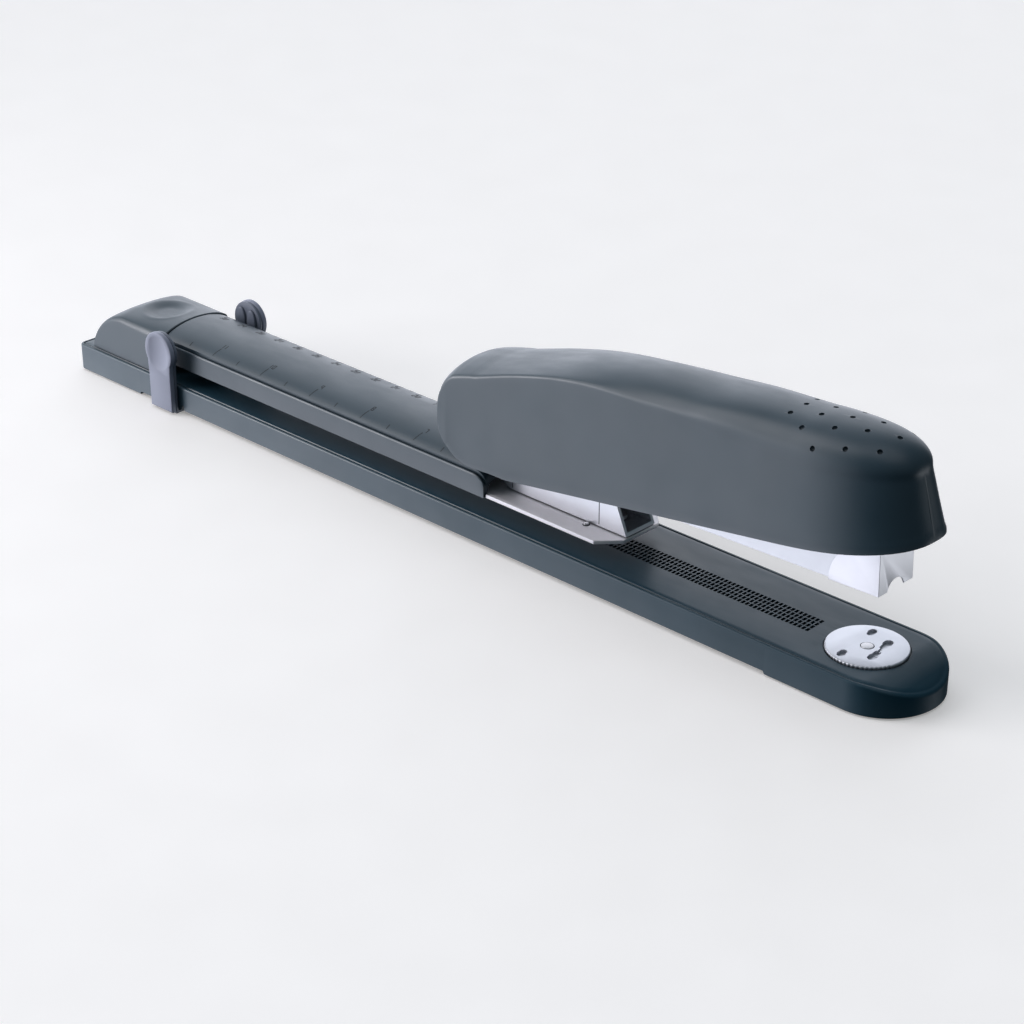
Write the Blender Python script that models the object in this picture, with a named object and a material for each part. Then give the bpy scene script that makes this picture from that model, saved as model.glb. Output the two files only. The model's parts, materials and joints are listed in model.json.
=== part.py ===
"""Long reach desk stapler: a 300 mm throat stapler with a fixed long arm, a ruler cover, a
hinged stapling head, a turnable anvil and a sliding paper guide.

Frame: +X runs along the base towards the stapling head's nose, +Y to the left of someone facing
+X, +Z up. The origin is on the table plane, on the mid-plane, under the staple line.
Every length in this file is in millimetres; MM turns it into Blender's metres when a mesh is made.
"""
import math

import bmesh
import bpy
from mathutils import Matrix, Vector

MM = 0.001
GAP = 0.3                      # clearance between neighbouring pieces

# Base
BASE_REAR = -352.0
BASE_CORNER = 2.5              # plan radius of the two rear corners
BASE_HALF = 18.9
BASE_TOP = 10.4
BASE_WALL = 2.2
BASE_NOSE_CENTRE = 0.6         # centre of the round front end
BASE_NOSE_DROP = 4.4           # how far the top falls at the very front
FRONT_PAD_CENTRE = -0.5          # centre of the front sole's round end
FRONT_PAD_HALF = 16.1
NOSE_POCKET_TOP = 4.4          # height of the hollow under the falling nose
NOSE_POCKET = (6.6, 14.4)      # front x and half width of the full height hollow
FRONT_FOOT_END = -27.0         # the front foot runs from here to the nose
REAR_FOOT_END = -316.0         # the rear foot runs from here to the rear end
UNDERCUT = 1.3                 # height of the base's lower edge between the feet
PAD_DEPTH = 0.4                # how far the rubber feet stand below the base's walls
RIB_START, RIB_END = -104.0, -23.5
RIB_PITCH = 1.5
RIB_HALF = 4.2
RIB_DEPTH = 0.6
STIFFENER_REAR, STIFFENER_FRONT = -340.0, 6.0
STIFFENER_HALF = 14.0
STIFFENER_LOW = 2.4
STIFFENER_TOP = BASE_TOP - BASE_WALL - GAP
STIFFENER_SHEET = 1.2
PAD_THICK = 2.1

# Anvil
ANVIL_X = -5.0
ANVIL_RADIUS = 12.3
ANVIL_TOP = 11.1
ANVIL_THICK = 1.2
ANVIL_STAPLE_OFFSET = 4.4      # from the disc's centre to each clinching groove
CLINCH_DEPTH = 0.5
STEM_RADIUS = 1.5
STEM_HEAD_RADIUS = 2.1
BUTTON_RADIUS = 6.2
BUTTON_LOW, BUTTON_HIGH = 1.2, 3.0     # the gap above it is the anvil's 2 mm lift

# Arm
THROAT_TOP = 16.0              # underside of the arm's steel plate
PLATE_THICK = 1.2
PLATE_HALF = 14.8
PLATE_FRONT = -91.0
PLATE_CUT = 6.5                # the plate's front corners are cut at 45 degrees
ARM_REAR = -338.0
ARM_CHANNEL_REAR, ARM_CHANNEL_FRONT = -332.0, -150.0
ARM_CHANNEL_HALF = 9.0
ARM_FLANGE_HALF = 12.5
ARM_CHANNEL_RISE = 5.6
ARM_SHEET = 1.2
SEAM_X = -305.5                # between the rear housing and the arm cover
COVER_FRONT = -144.0
COVER_HALF = 15.5
COVER_EDGE = 23.2              # height of the cover's long top edge
COVER_CREST = 28.0
COVER_WALL = 1.8

# Rear housing
HOUSING_REAR = -344.4
HOUSING_HALF = 17.5            # at the foot of its walls, which lean in towards the top
HOUSING_EDGE_HALF = 15.6
HOUSING_EDGE = (24.6, 23.5)    # side edge height at the rear and at the seam
HOUSING_CREST = (26.7, 28.2)   # middle height at the rear and at the seam
HOUSING_WALL = 1.5
REAR_RADIUS = 15.0             # quarter round at the rear end
DISH_X = -320.5
DISH_RADIUS = 30.0             # sphere that presses the thumb dish
DISH_DEPTH = 1.3
BLOCK_REAR, BLOCK_FRONT, BLOCK_HALF = -338.0, -307.0, 13.0
REAR_SCREW_X = -324.0
REAR_SCREW_Y = 7.0
SCREW_RADIUS = 1.8
SCREW_HEAD_RADIUS = 3.4
SCREW_LOW = 3.2                # underside of the screw heads

# Pivot and bracket
PIVOT = (-139.0, 46.0)         # x and z of the head's hinge pin
PIN_RADIUS = 2.0
PIN_HEAD_RADIUS = 3.4
PIN_HEAD = (-12.8, -11.3)      # y of the pin's head
PIN_END = 12.6
PIN_GROOVE = (11.2, 12.0)      # y of the groove for the retaining ring
PIN_GROOVE_RADIUS = 1.4
EAR_RADIUS = 6.5
CHEEK_OUT = 6.7
CHEEK_THICK = 1.1
RIVET_RADIUS = 1.9
RIVET_HEAD_RADIUS = 3.2
BRACKET_RIVETS = (-101.0, -130.0)
BRACKET_WEB = THROAT_TOP + PLATE_THICK + GAP
BRACKET_REAR = -144.5
SPRING_X = -113.0              # the lift spring and the handle spring stand one above the other

# Head: the magazine at rest is tilted nose up about the pivot by this angle
MAGAZINE_TILT = 1.85
CHANNEL_OUT = 7.5
SHEET = 0.55
MAG_BOTTOM = 28.75             # magazine heights and lengths are those before the tilt
MAG_TOP = 41.0
MAG_FLOOR_REAR = -90.0
MAG_FRONT = 2.5
CAP_OUT = 8.15
CAP_REAR = -12.0
CAP_THICK = 0.5
RAIL_OUT = 5.4
RAIL_TOP = 35.0
RAIL_BOTTOM = MAG_BOTTOM + SHEET + GAP
RAIL_REAR, RAIL_FRONT = -122.0, -1.2
RAIL_SHEET = 0.8
FOLLOWER_LENGTH = 17.0
FOLLOWER_TOP = RAIL_TOP + 3.6
ROD_RADIUS = 0.7
ROD_CENTRE = (0.0, RAIL_TOP + 2.1)
ROD_REAR = -92.0
FRAME_OUT = 10.2
FRAME_THICK = 1.2
FRAME_TOP_REAR, FRAME_TOP_FRONT = 56.2, 63.0
FRAME_FLAT = -27.0             # ahead of this the frame's top is level
BLADE_HALF = 6.2
BLADE_X = 0.55
BLADE_THICK = 0.6
BLADE_TIP = 42.8

# Handle cover
HANDLE_WALL = 1.9
RIM_RISE = 0.15                # slope of the lower rim
RIM_ZERO = 46.9                # height of the rim's line at x = 0
RIM_LIFT = 2.7                 # extra rise of the rim at the nose
RIM_LIFT_START = -27.6
RIM_HALF = 17.9
EDGE_HALF = 14.4
RIM_NOSE_CENTRE = -20.0
RIM_NOSE_LENGTH = 35.1
EDGE_NOSE_CENTRE = -24.0
EDGE_NOSE_LENGTH = 33.3
NOSE_POWER = 0.79              # below 1 makes the nose blunter than an ellipse
ARCH_STEPS = 10
ARM_PASSAGE = 15.9             # half width of the rear opening that lets the arm pass
PASSAGE_TOP = 50.0
BODY_STEPS, NOSE_STEPS = 10, 9
# x and z down the rear of the handle: its lower rim, then its top edge, station by station
REAR_LOW = [
    (-162.9, 40.5), (-162.6, 36.6), (-161.3, 33.4), (-158.6, 30.0), (-154.8, 27.6),
    (-150.6, 26.5), (-146.0, 26.5), (-140.0, 26.9),
]
REAR_HIGH = [
    (-162.9, 40.5), (-162.8, 44.2), (-161.9, 48.0), (-160.0, 51.4), (-157.8, 53.6),
    (-156.0, 54.5), (-154.2, 55.1), (-150.0, 56.3),
]
REAR_BULGE = [3.0, 3.3, 3.4, 3.3, 2.4, 0.9, 0.2, 0.0]   # how far the middle stands rearwards
REAR_CROWN = [0.2, 0.4, 0.8, 1.8, 2.9, 3.3, 3.4, 3.1]   # how far the middle stands higher
# x and height of the crown above the top edge, then x and z of the top edge itself
CREST_LINE = [
    (-150.0, 3.1), (-140.0, 2.4), (-125.0, 1.9), (-105.0, 3.4), (-84.0, 5.8), (-64.0, 8.0),
    (-44.0, 10.2), (-24.0, 11.9),
]
EDGE_LINE = [
    (-154.0, 54.6), (-145.0, 57.7), (-131.0, 62.1), (-116.0, 65.8), (-102.0, 67.9),
    (-88.0, 68.7), (-75.0, 68.6), (-62.0, 68.0), (-48.0, 67.9), (-34.0, 67.5), (-24.0, 67.4),
    (-10.0, 68.3), (8.0, 70.3),
]
FLAT_CROWN, PAD_CROWN = 0.9, 0.38      # crown exponents: 1 is a parabola, 0.5 an ellipse
PAD_START, PAD_END = -95.0, -55.0      # the crown changes from flat to full between these

# Paper guide
GUIDE_X = -299.3
GUIDE_INNER = 19.2
GUIDE_SPLIT = 20.3               # between the dark inner layer and the light face plate
GUIDE_OUTER = 22.4
GUIDE_HALF_STEM = 6.0
GUIDE_HEAD_RADIUS = 7.4
GUIDE_TOP = 30.2
GUIDE_LOW = 0.1
GUIDE_FACE_LOW = 0.9

MATERIALS = {
    "black_plastic": ((0.045, 0.058, 0.075), 0.48, 0.0),
    "inner_plastic": ((0.020, 0.026, 0.034), 0.60, 0.0),
    "grey_plastic": ((0.330, 0.350, 0.430), 0.45, 0.0),
    "rubber": ((0.015, 0.016, 0.018), 0.85, 0.0),
    "zinc_steel": ((0.640, 0.650, 0.700), 0.30, 1.0),
    "bright_steel": ((0.760, 0.740, 0.750), 0.22, 1.0),
    "spring_steel": ((0.450, 0.450, 0.470), 0.35, 1.0),
}


def material(name):
    """The named Principled material, made on first use."""
    found = bpy.data.materials.get(name)
    if found:
        return found
    colour, roughness, metallic = MATERIALS[name]
    made = bpy.data.materials.new(name)
    made.use_nodes = True
    shader = made.node_tree.nodes["Principled BSDF"]
    shader.inputs["Base Color"].default_value = (*colour, 1.0)
    shader.inputs["Roughness"].default_value = roughness
    shader.inputs["Metallic"].default_value = metallic
    made.diffuse_color = (*colour, 1.0)
    return made


# ---------------------------------------------------------------- outlines

def arc(cx, cy, radius, start, end, steps):
    """Points of a circular arc, angles in degrees."""
    points = []
    for i in range(steps + 1):
        angle = math.radians(start + (end - start) * i / steps)
        points.append((cx + radius * math.cos(angle), cy + radius * math.sin(angle)))
    return points


def circle(cx, cy, radius, steps=24):
    """Points of a full circle, without a repeated end."""
    return arc(cx, cy, radius, 0, 360, steps)[:-1]


def rectangle(x0, y0, x1, y1):
    """Corners of an upright rectangle."""
    return [(x0, y0), (x1, y0), (x1, y1), (x0, y1)]


def rounded(points, radii, steps=5):
    """The polygon with each corner rounded; one radius for each corner, 0 keeps it sharp."""
    result = []
    count = len(points)
    for i, radius in enumerate(radii):
        here = Vector(points[i])
        if radius <= 0:
            result.append(tuple(here))
            continue
        to_last = (Vector(points[i - 1]) - here).normalized()
        to_next = (Vector(points[(i + 1) % count]) - here).normalized()
        half = to_last.angle(to_next) / 2
        centre = here + (to_last + to_next).normalized() * (radius / math.sin(half))
        start = here + to_last * (radius / math.tan(half)) - centre
        end = here + to_next * (radius / math.tan(half)) - centre
        sweep = start.angle_signed(end)
        for k in range(steps + 1):
            turned = Matrix.Rotation(-sweep * k / steps, 2) @ start
            result.append(tuple(centre + turned))
    return result


def smooth_through(points, x):
    """Height at x of a smooth curve through points sorted by x (Catmull-Rom slopes)."""
    if x <= points[0][0]:
        return points[0][1]
    if x >= points[-1][0]:
        return points[-1][1]

    def slope(i):
        before = points[max(i - 1, 0)]
        after = points[min(i + 1, len(points) - 1)]
        return (after[1] - before[1]) / (after[0] - before[0])

    for i in range(len(points) - 1):
        (x0, y0), (x1, y1) = points[i], points[i + 1]
        if x <= x1:
            break
    span = x1 - x0
    t = (x - x0) / span
    rise = y0 * (2 * t ** 3 - 3 * t ** 2 + 1) + y1 * (3 * t ** 2 - 2 * t ** 3)
    lean = slope(i) * span * (t ** 3 - 2 * t ** 2 + t) + slope(i + 1) * span * (t ** 3 - t ** 2)
    return rise + lean


# ---------------------------------------------------------------- solids

def finish(name, mesh_data, slot, pivot=(0.0, 0.0, 0.0), sharp=35.0):
    """An object from a bmesh in millimetres, its origin at pivot (also millimetres)."""
    bmesh.ops.translate(mesh_data, verts=mesh_data.verts, vec=-Vector(pivot))
    bmesh.ops.scale(mesh_data, verts=mesh_data.verts, vec=(MM, MM, MM))
    bmesh.ops.recalc_face_normals(mesh_data, faces=mesh_data.faces)
    mesh = bpy.data.meshes.new(name)
    mesh_data.to_mesh(mesh)
    mesh_data.free()
    made = bpy.data.objects.new(name, mesh)
    made.location = Vector(pivot) * MM
    bpy.context.scene.collection.objects.link(made)
    mesh.shade_smooth()
    mesh.set_sharp_from_angle(angle=math.radians(sharp))
    if slot:
        mesh.materials.append(material(slot))
    return made


def prism(outline, low, high, axis="z"):
    """A bmesh prism. The outline is in (x, y) for axis z, (x, z) for y and (y, z) for x."""
    place = {
        "z": lambda a, b, c: (a, b, c),
        "y": lambda a, b, c: (a, c, b),
        "x": lambda a, b, c: (c, a, b),
    }[axis]
    solid = bmesh.new()
    lower = [solid.verts.new(place(a, b, low)) for a, b in outline]
    upper = [solid.verts.new(place(a, b, high)) for a, b in outline]
    count = len(outline)
    solid.faces.new(lower)
    solid.faces.new(upper)
    for i in range(count):
        j = (i + 1) % count
        solid.faces.new((lower[i], lower[j], upper[j], upper[i]))
    return solid


def block(low, high):
    """A bmesh box between two corners."""
    return prism(rectangle(low[0], low[1], high[0], high[1]), low[2], high[2])


def loft(rings):
    """A bmesh skin over closed rings of equal point count, capped at both ends."""
    solid = bmesh.new()
    rows = [[solid.verts.new(point) for point in ring] for ring in rings]
    count = len(rows[0])
    for lower, upper in zip(rows, rows[1:]):
        for i in range(count):
            j = (i + 1) % count
            solid.faces.new((lower[i], lower[j], upper[j], upper[i]))
    solid.faces.new(rows[0])
    solid.faces.new(rows[-1])
    return solid


def coil(radius, wire, low, high, turns, per_turn=10, sides=5):
    """A bmesh helical spring of round wire about the z axis, between low and high."""
    rings = []
    steps = int(turns * per_turn)
    pitch = (high - low - 2 * wire) / turns
    for k in range(steps + 1):
        angle = 2 * math.pi * k / per_turn
        out = Vector((math.cos(angle), math.sin(angle), 0.0))
        centre = out * radius + Vector((0.0, 0.0, low + wire + pitch * k / per_turn))
        ring = []
        for s in range(sides):
            around = 2 * math.pi * s / sides
            offset = out * math.cos(around) + Vector((0.0, 0.0, math.sin(around)))
            ring.append(tuple(centre + offset * wire))
        rings.append(ring)
    return loft(rings)


def moved(solid, matrix):
    """The bmesh after a transform."""
    bmesh.ops.transform(solid, matrix=matrix, verts=solid.verts)
    return solid


def tilted(solid):
    """The bmesh turned from the magazine's own level to its rest tilt about the pivot."""
    centre = Vector((PIVOT[0], 0.0, PIVOT[1]))
    turn = Matrix.Rotation(-math.radians(MAGAZINE_TILT), 4, "Y")
    return moved(solid, Matrix.Translation(centre) @ turn @ Matrix.Translation(-centre))


def combine(target, solid, operation="DIFFERENCE"):
    """Adds a Boolean to the target with a hidden tool made from the bmesh."""
    number = sum(1 for m in target.modifiers if m.type == "BOOLEAN")
    tool = finish(f"{target.name}.tool{number}", solid, None)
    tool.hide_render = True
    tool.display_type = "WIRE"
    change = target.modifiers.new(f"{operation.lower()}_{number}", "BOOLEAN")
    change.operation = operation
    change.solver = "EXACT"
    change.object = tool


def at_pivot():
    """The head's pivot as a point, in millimetres."""
    return (PIVOT[0], 0.0, PIVOT[1])


def screw_holes(target, radius, low, high):
    """Cuts the two rear screw holes."""
    for y in (-REAR_SCREW_Y, REAR_SCREW_Y):
        combine(target, prism(circle(REAR_SCREW_X, y, radius, 16), low, high))


# ---------------------------------------------------------------- base

def base_plan(inset=0.0, steps=14):
    """The base's outline from above: square at the rear, half round at the front."""
    half = BASE_HALF - inset
    nose = arc(BASE_NOSE_CENTRE, 0, half, -90, 90, steps)
    corner = max(BASE_CORNER - inset, 0.5)
    rear = BASE_REAR + inset
    rear_left = arc(rear + corner, half - corner, corner, 90, 180, 4)
    rear_right = arc(rear + corner, -half + corner, corner, 180, 270, 4)
    return nose + rear_left + rear_right


def base_side():
    """The base's side outline: two feet, a raised edge between them and a falling front."""
    front = BASE_NOSE_CENTRE + BASE_HALF + 1
    start = BASE_NOSE_CENTRE + 5
    fall = []
    for k in range(7):
        share = k / 6
        fall.append((start + (front - start) * share, BASE_TOP - BASE_NOSE_DROP * share ** 1.6))
    rear = BASE_REAR - 1
    under = [
        (front, PAD_DEPTH), (FRONT_FOOT_END, PAD_DEPTH), (FRONT_FOOT_END - 1, UNDERCUT),
        (REAR_FOOT_END + 1, UNDERCUT), (REAR_FOOT_END, PAD_DEPTH), (rear, PAD_DEPTH),
    ]
    return [(rear, BASE_TOP)] + fall + under


def make_base_shell():
    """Long hollow base moulding, ribbed on top in front of the arm, open below."""
    shell = finish("base_shell", prism(base_plan(), 0, BASE_TOP + 5), "black_plastic")
    combine(shell, prism(base_side(), -30, 30, "y"), "INTERSECT")
    combine(shell, prism(base_plan(BASE_WALL), -5, NOSE_POCKET_TOP))
    rear, half = BASE_REAR + BASE_WALL, BASE_HALF - BASE_WALL
    front, narrow = NOSE_POCKET
    near = [(rear, -half), (BASE_NOSE_CENTRE, -half), (front, -narrow)]
    hollow = near + [(x, -y) for x, y in near[::-1]]
    combine(shell, prism(hollow, -5, BASE_TOP - BASE_WALL))
    recess = prism(circle(ANVIL_X, 0, ANVIL_RADIUS + 0.4, 40), ANVIL_TOP - ANVIL_THICK - GAP, 20)
    combine(shell, recess)
    combine(shell, prism(circle(ANVIL_X, 0, STEM_RADIUS + 0.5), 0, 20))
    screw_holes(shell, SCREW_RADIUS + GAP, 0, 20)
    combine(shell, rib_cutter())
    return shell


def rib_cutter():
    """One comb of shallow slots across the base top, joined by a thin spine above it."""
    teeth = [(RIB_START, BASE_TOP + 1)]
    x = RIB_START
    while x < RIB_END:
        left, right = x + 0.35, x + 0.35 + RIB_PITCH / 2
        floor = BASE_TOP - RIB_DEPTH
        above = BASE_TOP + 0.4
        teeth += [(left, above), (left, floor), (right, floor), (right, above)]
        x += RIB_PITCH
    teeth.append((RIB_END, BASE_TOP + 1))
    return prism(teeth, -RIB_HALF, RIB_HALF, "y")


def make_base_stiffener():
    """Steel channel inside the base that carries the stapling load."""
    outer = rectangle(-STIFFENER_HALF, STIFFENER_LOW, STIFFENER_HALF, STIFFENER_TOP)
    solid = prism(outer, STIFFENER_REAR, STIFFENER_FRONT, "x")
    channel = finish("base_stiffener", solid, "zinc_steel")
    half = STIFFENER_HALF - STIFFENER_SHEET
    hollow = rectangle(-half, 0, half, STIFFENER_TOP - STIFFENER_SHEET)
    combine(channel, prism(hollow, STIFFENER_REAR - 5, STIFFENER_FRONT + 5, "x"))
    combine(channel, prism(circle(ANVIL_X, 0, BUTTON_RADIUS + 0.6), 0, 20))
    screw_holes(channel, SCREW_RADIUS + GAP, 0, 20)
    return channel


def make_foot_pads():
    """Rubber soles pressed into the two feet."""
    inset = BASE_WALL + GAP
    half = BASE_HALF - inset
    front = arc(FRONT_PAD_CENTRE, 0, FRONT_PAD_HALF, -90, 90, 14)
    front += [(FRONT_FOOT_END + 1, FRONT_PAD_HALF), (FRONT_FOOT_END + 1, -FRONT_PAD_HALF)]
    pad = finish("front_foot_pad", prism(front, 0, PAD_THICK), "rubber")
    combine(pad, prism(circle(ANVIL_X, 0, BUTTON_RADIUS + 0.6), -1, 10))
    rear = rectangle(BASE_REAR + inset + 1, -half, REAR_FOOT_END - 1, half)
    pad = finish("rear_foot_pad", prism(rear, 0, PAD_THICK), "rubber")
    screw_holes(pad, SCREW_HEAD_RADIUS + 0.8, -1, 10)


# ---------------------------------------------------------------- anvil

def stadium(cx, cy, half_length, half_width, steps=6):
    """A slot outline that is long in y."""
    run = half_length - half_width
    far = arc(cx, cy + run, half_width, 0, 180, steps)
    return far + arc(cx, cy - run, half_width, 180, 360, steps)


def make_anvil():
    """Turnable clinching disc, the stem through it, the push button below and its spring."""
    low = ANVIL_TOP - ANVIL_THICK
    pivot = (ANVIL_X, 0, low)
    plate = prism(circle(ANVIL_X, 0, ANVIL_RADIUS, 40), low, ANVIL_TOP)
    disc = finish("anvil_disc", plate, "zinc_steel", pivot)
    combine(disc, prism(circle(ANVIL_X, 0, STEM_RADIUS + GAP), 0, 20))
    combine(disc, prism(circle(ANVIL_X, 0, STEM_HEAD_RADIUS + GAP), ANVIL_TOP - 0.8, 20))
    groove = ANVIL_TOP - CLINCH_DEPTH
    for side in (-1, 1):
        wide = stadium(ANVIL_X + ANVIL_STAPLE_OFFSET, side * 3.4, 3.7, 1.1)
        narrow = stadium(ANVIL_X - ANVIL_STAPLE_OFFSET, side * 7.5, 2.0, 0.9)
        combine(disc, prism(wide, groove, 20))
        combine(disc, prism(narrow, groove, 20))

    stem = prism(circle(ANVIL_X, 0, STEM_RADIUS), BUTTON_HIGH - 0.9, ANVIL_TOP - 0.3)
    rivet = finish("anvil_rivet", stem, "bright_steel", pivot)
    head = prism(circle(ANVIL_X, 0, STEM_HEAD_RADIUS), ANVIL_TOP - 0.5, ANVIL_TOP + 0.1)
    combine(rivet, head, "UNION")

    knob = prism(circle(ANVIL_X, 0, BUTTON_RADIUS, 32), BUTTON_LOW, BUTTON_HIGH)
    button = finish("anvil_button", knob, "inner_plastic", pivot)
    combine(button, prism(circle(ANVIL_X, 0, STEM_RADIUS + GAP), 0, 20))

    spring = coil(4.6, 0.35, BUTTON_HIGH + GAP, BASE_TOP - BASE_WALL - 0.2, 3, 14, 6)
    moved(spring, Matrix.Translation((ANVIL_X, 0, 0)))
    finish("anvil_spring", spring, "spring_steel")


# ---------------------------------------------------------------- rear housing and arm

def arch(half, edge, crest, steps=10):
    """Half-elliptic arch points in (y, z), from -half to +half."""
    points = []
    for i in range(steps + 1):
        angle = math.pi * (1 - i / steps)
        points.append((half * math.cos(angle), edge + (crest - edge) * math.sin(angle)))
    return points


def housing_ring(x, floor, edge, crest, inset):
    """One closed section of the housing at x, its walls leaning in."""
    lean = (HOUSING_HALF - HOUSING_EDGE_HALF) / (HOUSING_EDGE[1] - BASE_TOP)
    low_half = HOUSING_HALF - inset - lean * (floor - BASE_TOP)
    high_half = HOUSING_HALF - inset - lean * (edge - BASE_TOP)
    section = [(-low_half, floor)] + arch(high_half, edge, crest) + [(low_half, floor)]
    return [(x, y, z) for y, z in section]


def housing_solid(inset, floor):
    """The housing's outer form, or its hollow when inset is above 0."""
    rings = []
    rear = HOUSING_REAR + inset
    radius = REAR_RADIUS - inset
    rise = HOUSING_EDGE[0] - inset - floor - 0.3
    crown = HOUSING_CREST[0] - HOUSING_EDGE[0]
    for k in range(8):
        angle = math.radians(90 * k / 7)
        x = rear + radius * (1 - math.cos(angle))
        edge = floor + 0.3 + rise * math.sin(angle)
        crest = edge + crown * max(math.sin(angle) ** 2, 0.05)
        rings.append(housing_ring(x, floor, edge, crest, inset))
    front = SEAM_X + (5 if inset else 0)
    edge, crest = HOUSING_EDGE[1] - inset, HOUSING_CREST[1] - inset
    rings.append(housing_ring(front, floor, edge, crest, inset))
    return loft(rings)


def make_rear_housing():
    """Moulded cover over the joint between the arm and the base, with a shallow thumb dish."""
    floor = BASE_TOP + GAP
    housing = finish("rear_housing", housing_solid(0.0, floor), "black_plastic")
    combine(housing, housing_solid(HOUSING_WALL, floor - 5))
    sphere = bmesh.new()
    bmesh.ops.create_uvsphere(sphere, u_segments=32, v_segments=24, radius=DISH_RADIUS)
    above = HOUSING_CREST[0] + 0.3 + DISH_RADIUS - DISH_DEPTH
    moved(sphere, Matrix.Translation((DISH_X, 0, above)))
    combine(housing, sphere)


def make_rear_block():
    """Spacer that holds the arm at throat height above the base."""
    low, high = BASE_TOP + GAP, THROAT_TOP - GAP
    solid = block((BLOCK_REAR, -BLOCK_HALF, low), (BLOCK_FRONT, BLOCK_HALF, high))
    spacer = finish("rear_block", solid, "inner_plastic")
    screw_holes(spacer, SCREW_RADIUS + GAP, 0, 30)


def make_rear_screw(name, y):
    """One screw from below the stiffener up through the block into the arm."""
    top = THROAT_TOP + PLATE_THICK + ARM_CHANNEL_RISE - 0.1
    head_top = STIFFENER_TOP - STIFFENER_SHEET - GAP
    screw = finish(name, prism(circle(REAR_SCREW_X, y, SCREW_RADIUS, 16), 3.6, top), "bright_steel")
    head = prism(circle(REAR_SCREW_X, y, SCREW_HEAD_RADIUS, 20), SCREW_LOW, head_top)
    combine(screw, head, "UNION")
    slot = block((REAR_SCREW_X - 2.4, y - 0.4, 0), (REAR_SCREW_X + 2.4, y + 0.4, SCREW_LOW + 1))
    combine(screw, slot)


def plate_plan():
    """The arm plate from above, narrower where it lies between the cover's walls."""
    half, tail, cut = PLATE_HALF, COVER_HALF - COVER_WALL - GAP, PLATE_CUT
    step = COVER_FRONT + GAP
    near = [(ARM_REAR, -tail), (step, -tail), (step, -half), (PLATE_FRONT - cut, -half)]
    front = [(PLATE_FRONT, -half + cut), (PLATE_FRONT, half - cut)]
    return near + front + [(x, -y) for x, y in near[::-1]]


def make_arm_plate():
    """Flat steel plate that forms the underside of the arm."""
    solid = prism(plate_plan(), THROAT_TOP, THROAT_TOP + PLATE_THICK)
    plate = finish("arm_plate", solid, "bright_steel")
    screw_holes(plate, SCREW_RADIUS + GAP, 0, 30)
    for x in BRACKET_RIVETS:
        combine(plate, prism(circle(x, 0, RIVET_RADIUS + GAP, 16), 0, 30))


def make_arm_stiffener():
    """Top-hat steel section on the plate, hidden by the cover."""
    low = THROAT_TOP + PLATE_THICK + GAP
    flange, top = low + ARM_SHEET, low + ARM_CHANNEL_RISE
    half, wide = ARM_CHANNEL_HALF, ARM_FLANGE_HALF
    outer = [(-wide, low), (-wide, flange), (-half, flange), (-half, top)]
    outer += [(-y, z) for y, z in outer[::-1]]
    inner = half - ARM_SHEET
    hollow = [(-inner, low), (-inner, top - ARM_SHEET), (inner, top - ARM_SHEET), (inner, low)]
    solid = prism(outer + hollow[::-1], ARM_CHANNEL_REAR, ARM_CHANNEL_FRONT, "x")
    stiffener = finish("arm_stiffener", solid, "zinc_steel")
    screw_holes(stiffener, SCREW_RADIUS + GAP, 0, 30)


def make_arm_cover():
    """Long moulded cover that carries the ruler; open below and at its front."""
    low = THROAT_TOP
    arched = arch(COVER_HALF, COVER_EDGE, COVER_CREST, 14)
    outer = [(-COVER_HALF, low)] + arched + [(COVER_HALF, low)]
    cover = finish("arm_cover", prism(outer, SEAM_X + GAP, COVER_FRONT, "x"), "black_plastic")
    half = COVER_HALF - COVER_WALL
    arched = arch(half, COVER_EDGE - 0.6, COVER_CREST - COVER_WALL, 14)
    hollow = [(-half, low - 2)] + arched + [(half, low - 2)]
    combine(cover, prism(hollow, SEAM_X - 5, COVER_FRONT - 2, "x"))
    mouth = rectangle(-half, low - 2, half, BRACKET_WEB + 6)
    combine(cover, prism(mouth, COVER_FRONT - 4, COVER_FRONT + 5, "x"))
    radius = 5.0
    round_x, round_z = COVER_FRONT - radius, COVER_EDGE - radius
    above, ahead = COVER_CREST + 1, COVER_FRONT + 1
    corner = [(round_x - 4, above), (ahead, above), (ahead, round_z)]
    corner += arc(round_x, round_z, radius, 0, 90, 5)
    combine(cover, prism(corner, -30, 30, "y"))


# ---------------------------------------------------------------- pivot bracket

def make_pivot_bracket():
    """U-shaped steel bracket: a web on the arm plate and two cheeks that hold the pin."""
    px, pz = PIVOT
    low = BRACKET_WEB
    side = [(PLATE_FRONT - 0.3, low), (-95.5, 27.5), (-106, 33.0), (-127, 46.5)]
    side += arc(px, pz, EAR_RADIUS, 50, 180, 8) + [(px - EAR_RADIUS, 30), (BRACKET_REAR, 24)]
    side += arc(BRACKET_REAR + 4.5, low + 4.5, 4.5, 180, 270, 4)
    bracket = finish("pivot_bracket", prism(side, -CHEEK_OUT, CHEEK_OUT, "y"), "zinc_steel")
    inner = CHEEK_OUT - CHEEK_THICK
    combine(bracket, block((-160, -inner, low + CHEEK_THICK), (-80, inner, 70)))
    combine(bracket, prism(circle(px, pz, PIN_RADIUS + GAP), -20, 20, "y"))
    for x in BRACKET_RIVETS:
        combine(bracket, prism(circle(x, 0, RIVET_RADIUS + GAP, 16), 0, 25))


def make_bracket_rivet(name, x):
    """Round-headed rivet through the bracket's web and the arm plate."""
    top = BRACKET_WEB + CHEEK_THICK
    shank = prism(circle(x, 0, RIVET_RADIUS, 16), THROAT_TOP + 0.1, top + 0.6)
    rivet = finish(name, shank, "bright_steel")
    combine(rivet, prism(circle(x, 0, RIVET_HEAD_RADIUS, 20), top + GAP, top + 1.5), "UNION")


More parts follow.
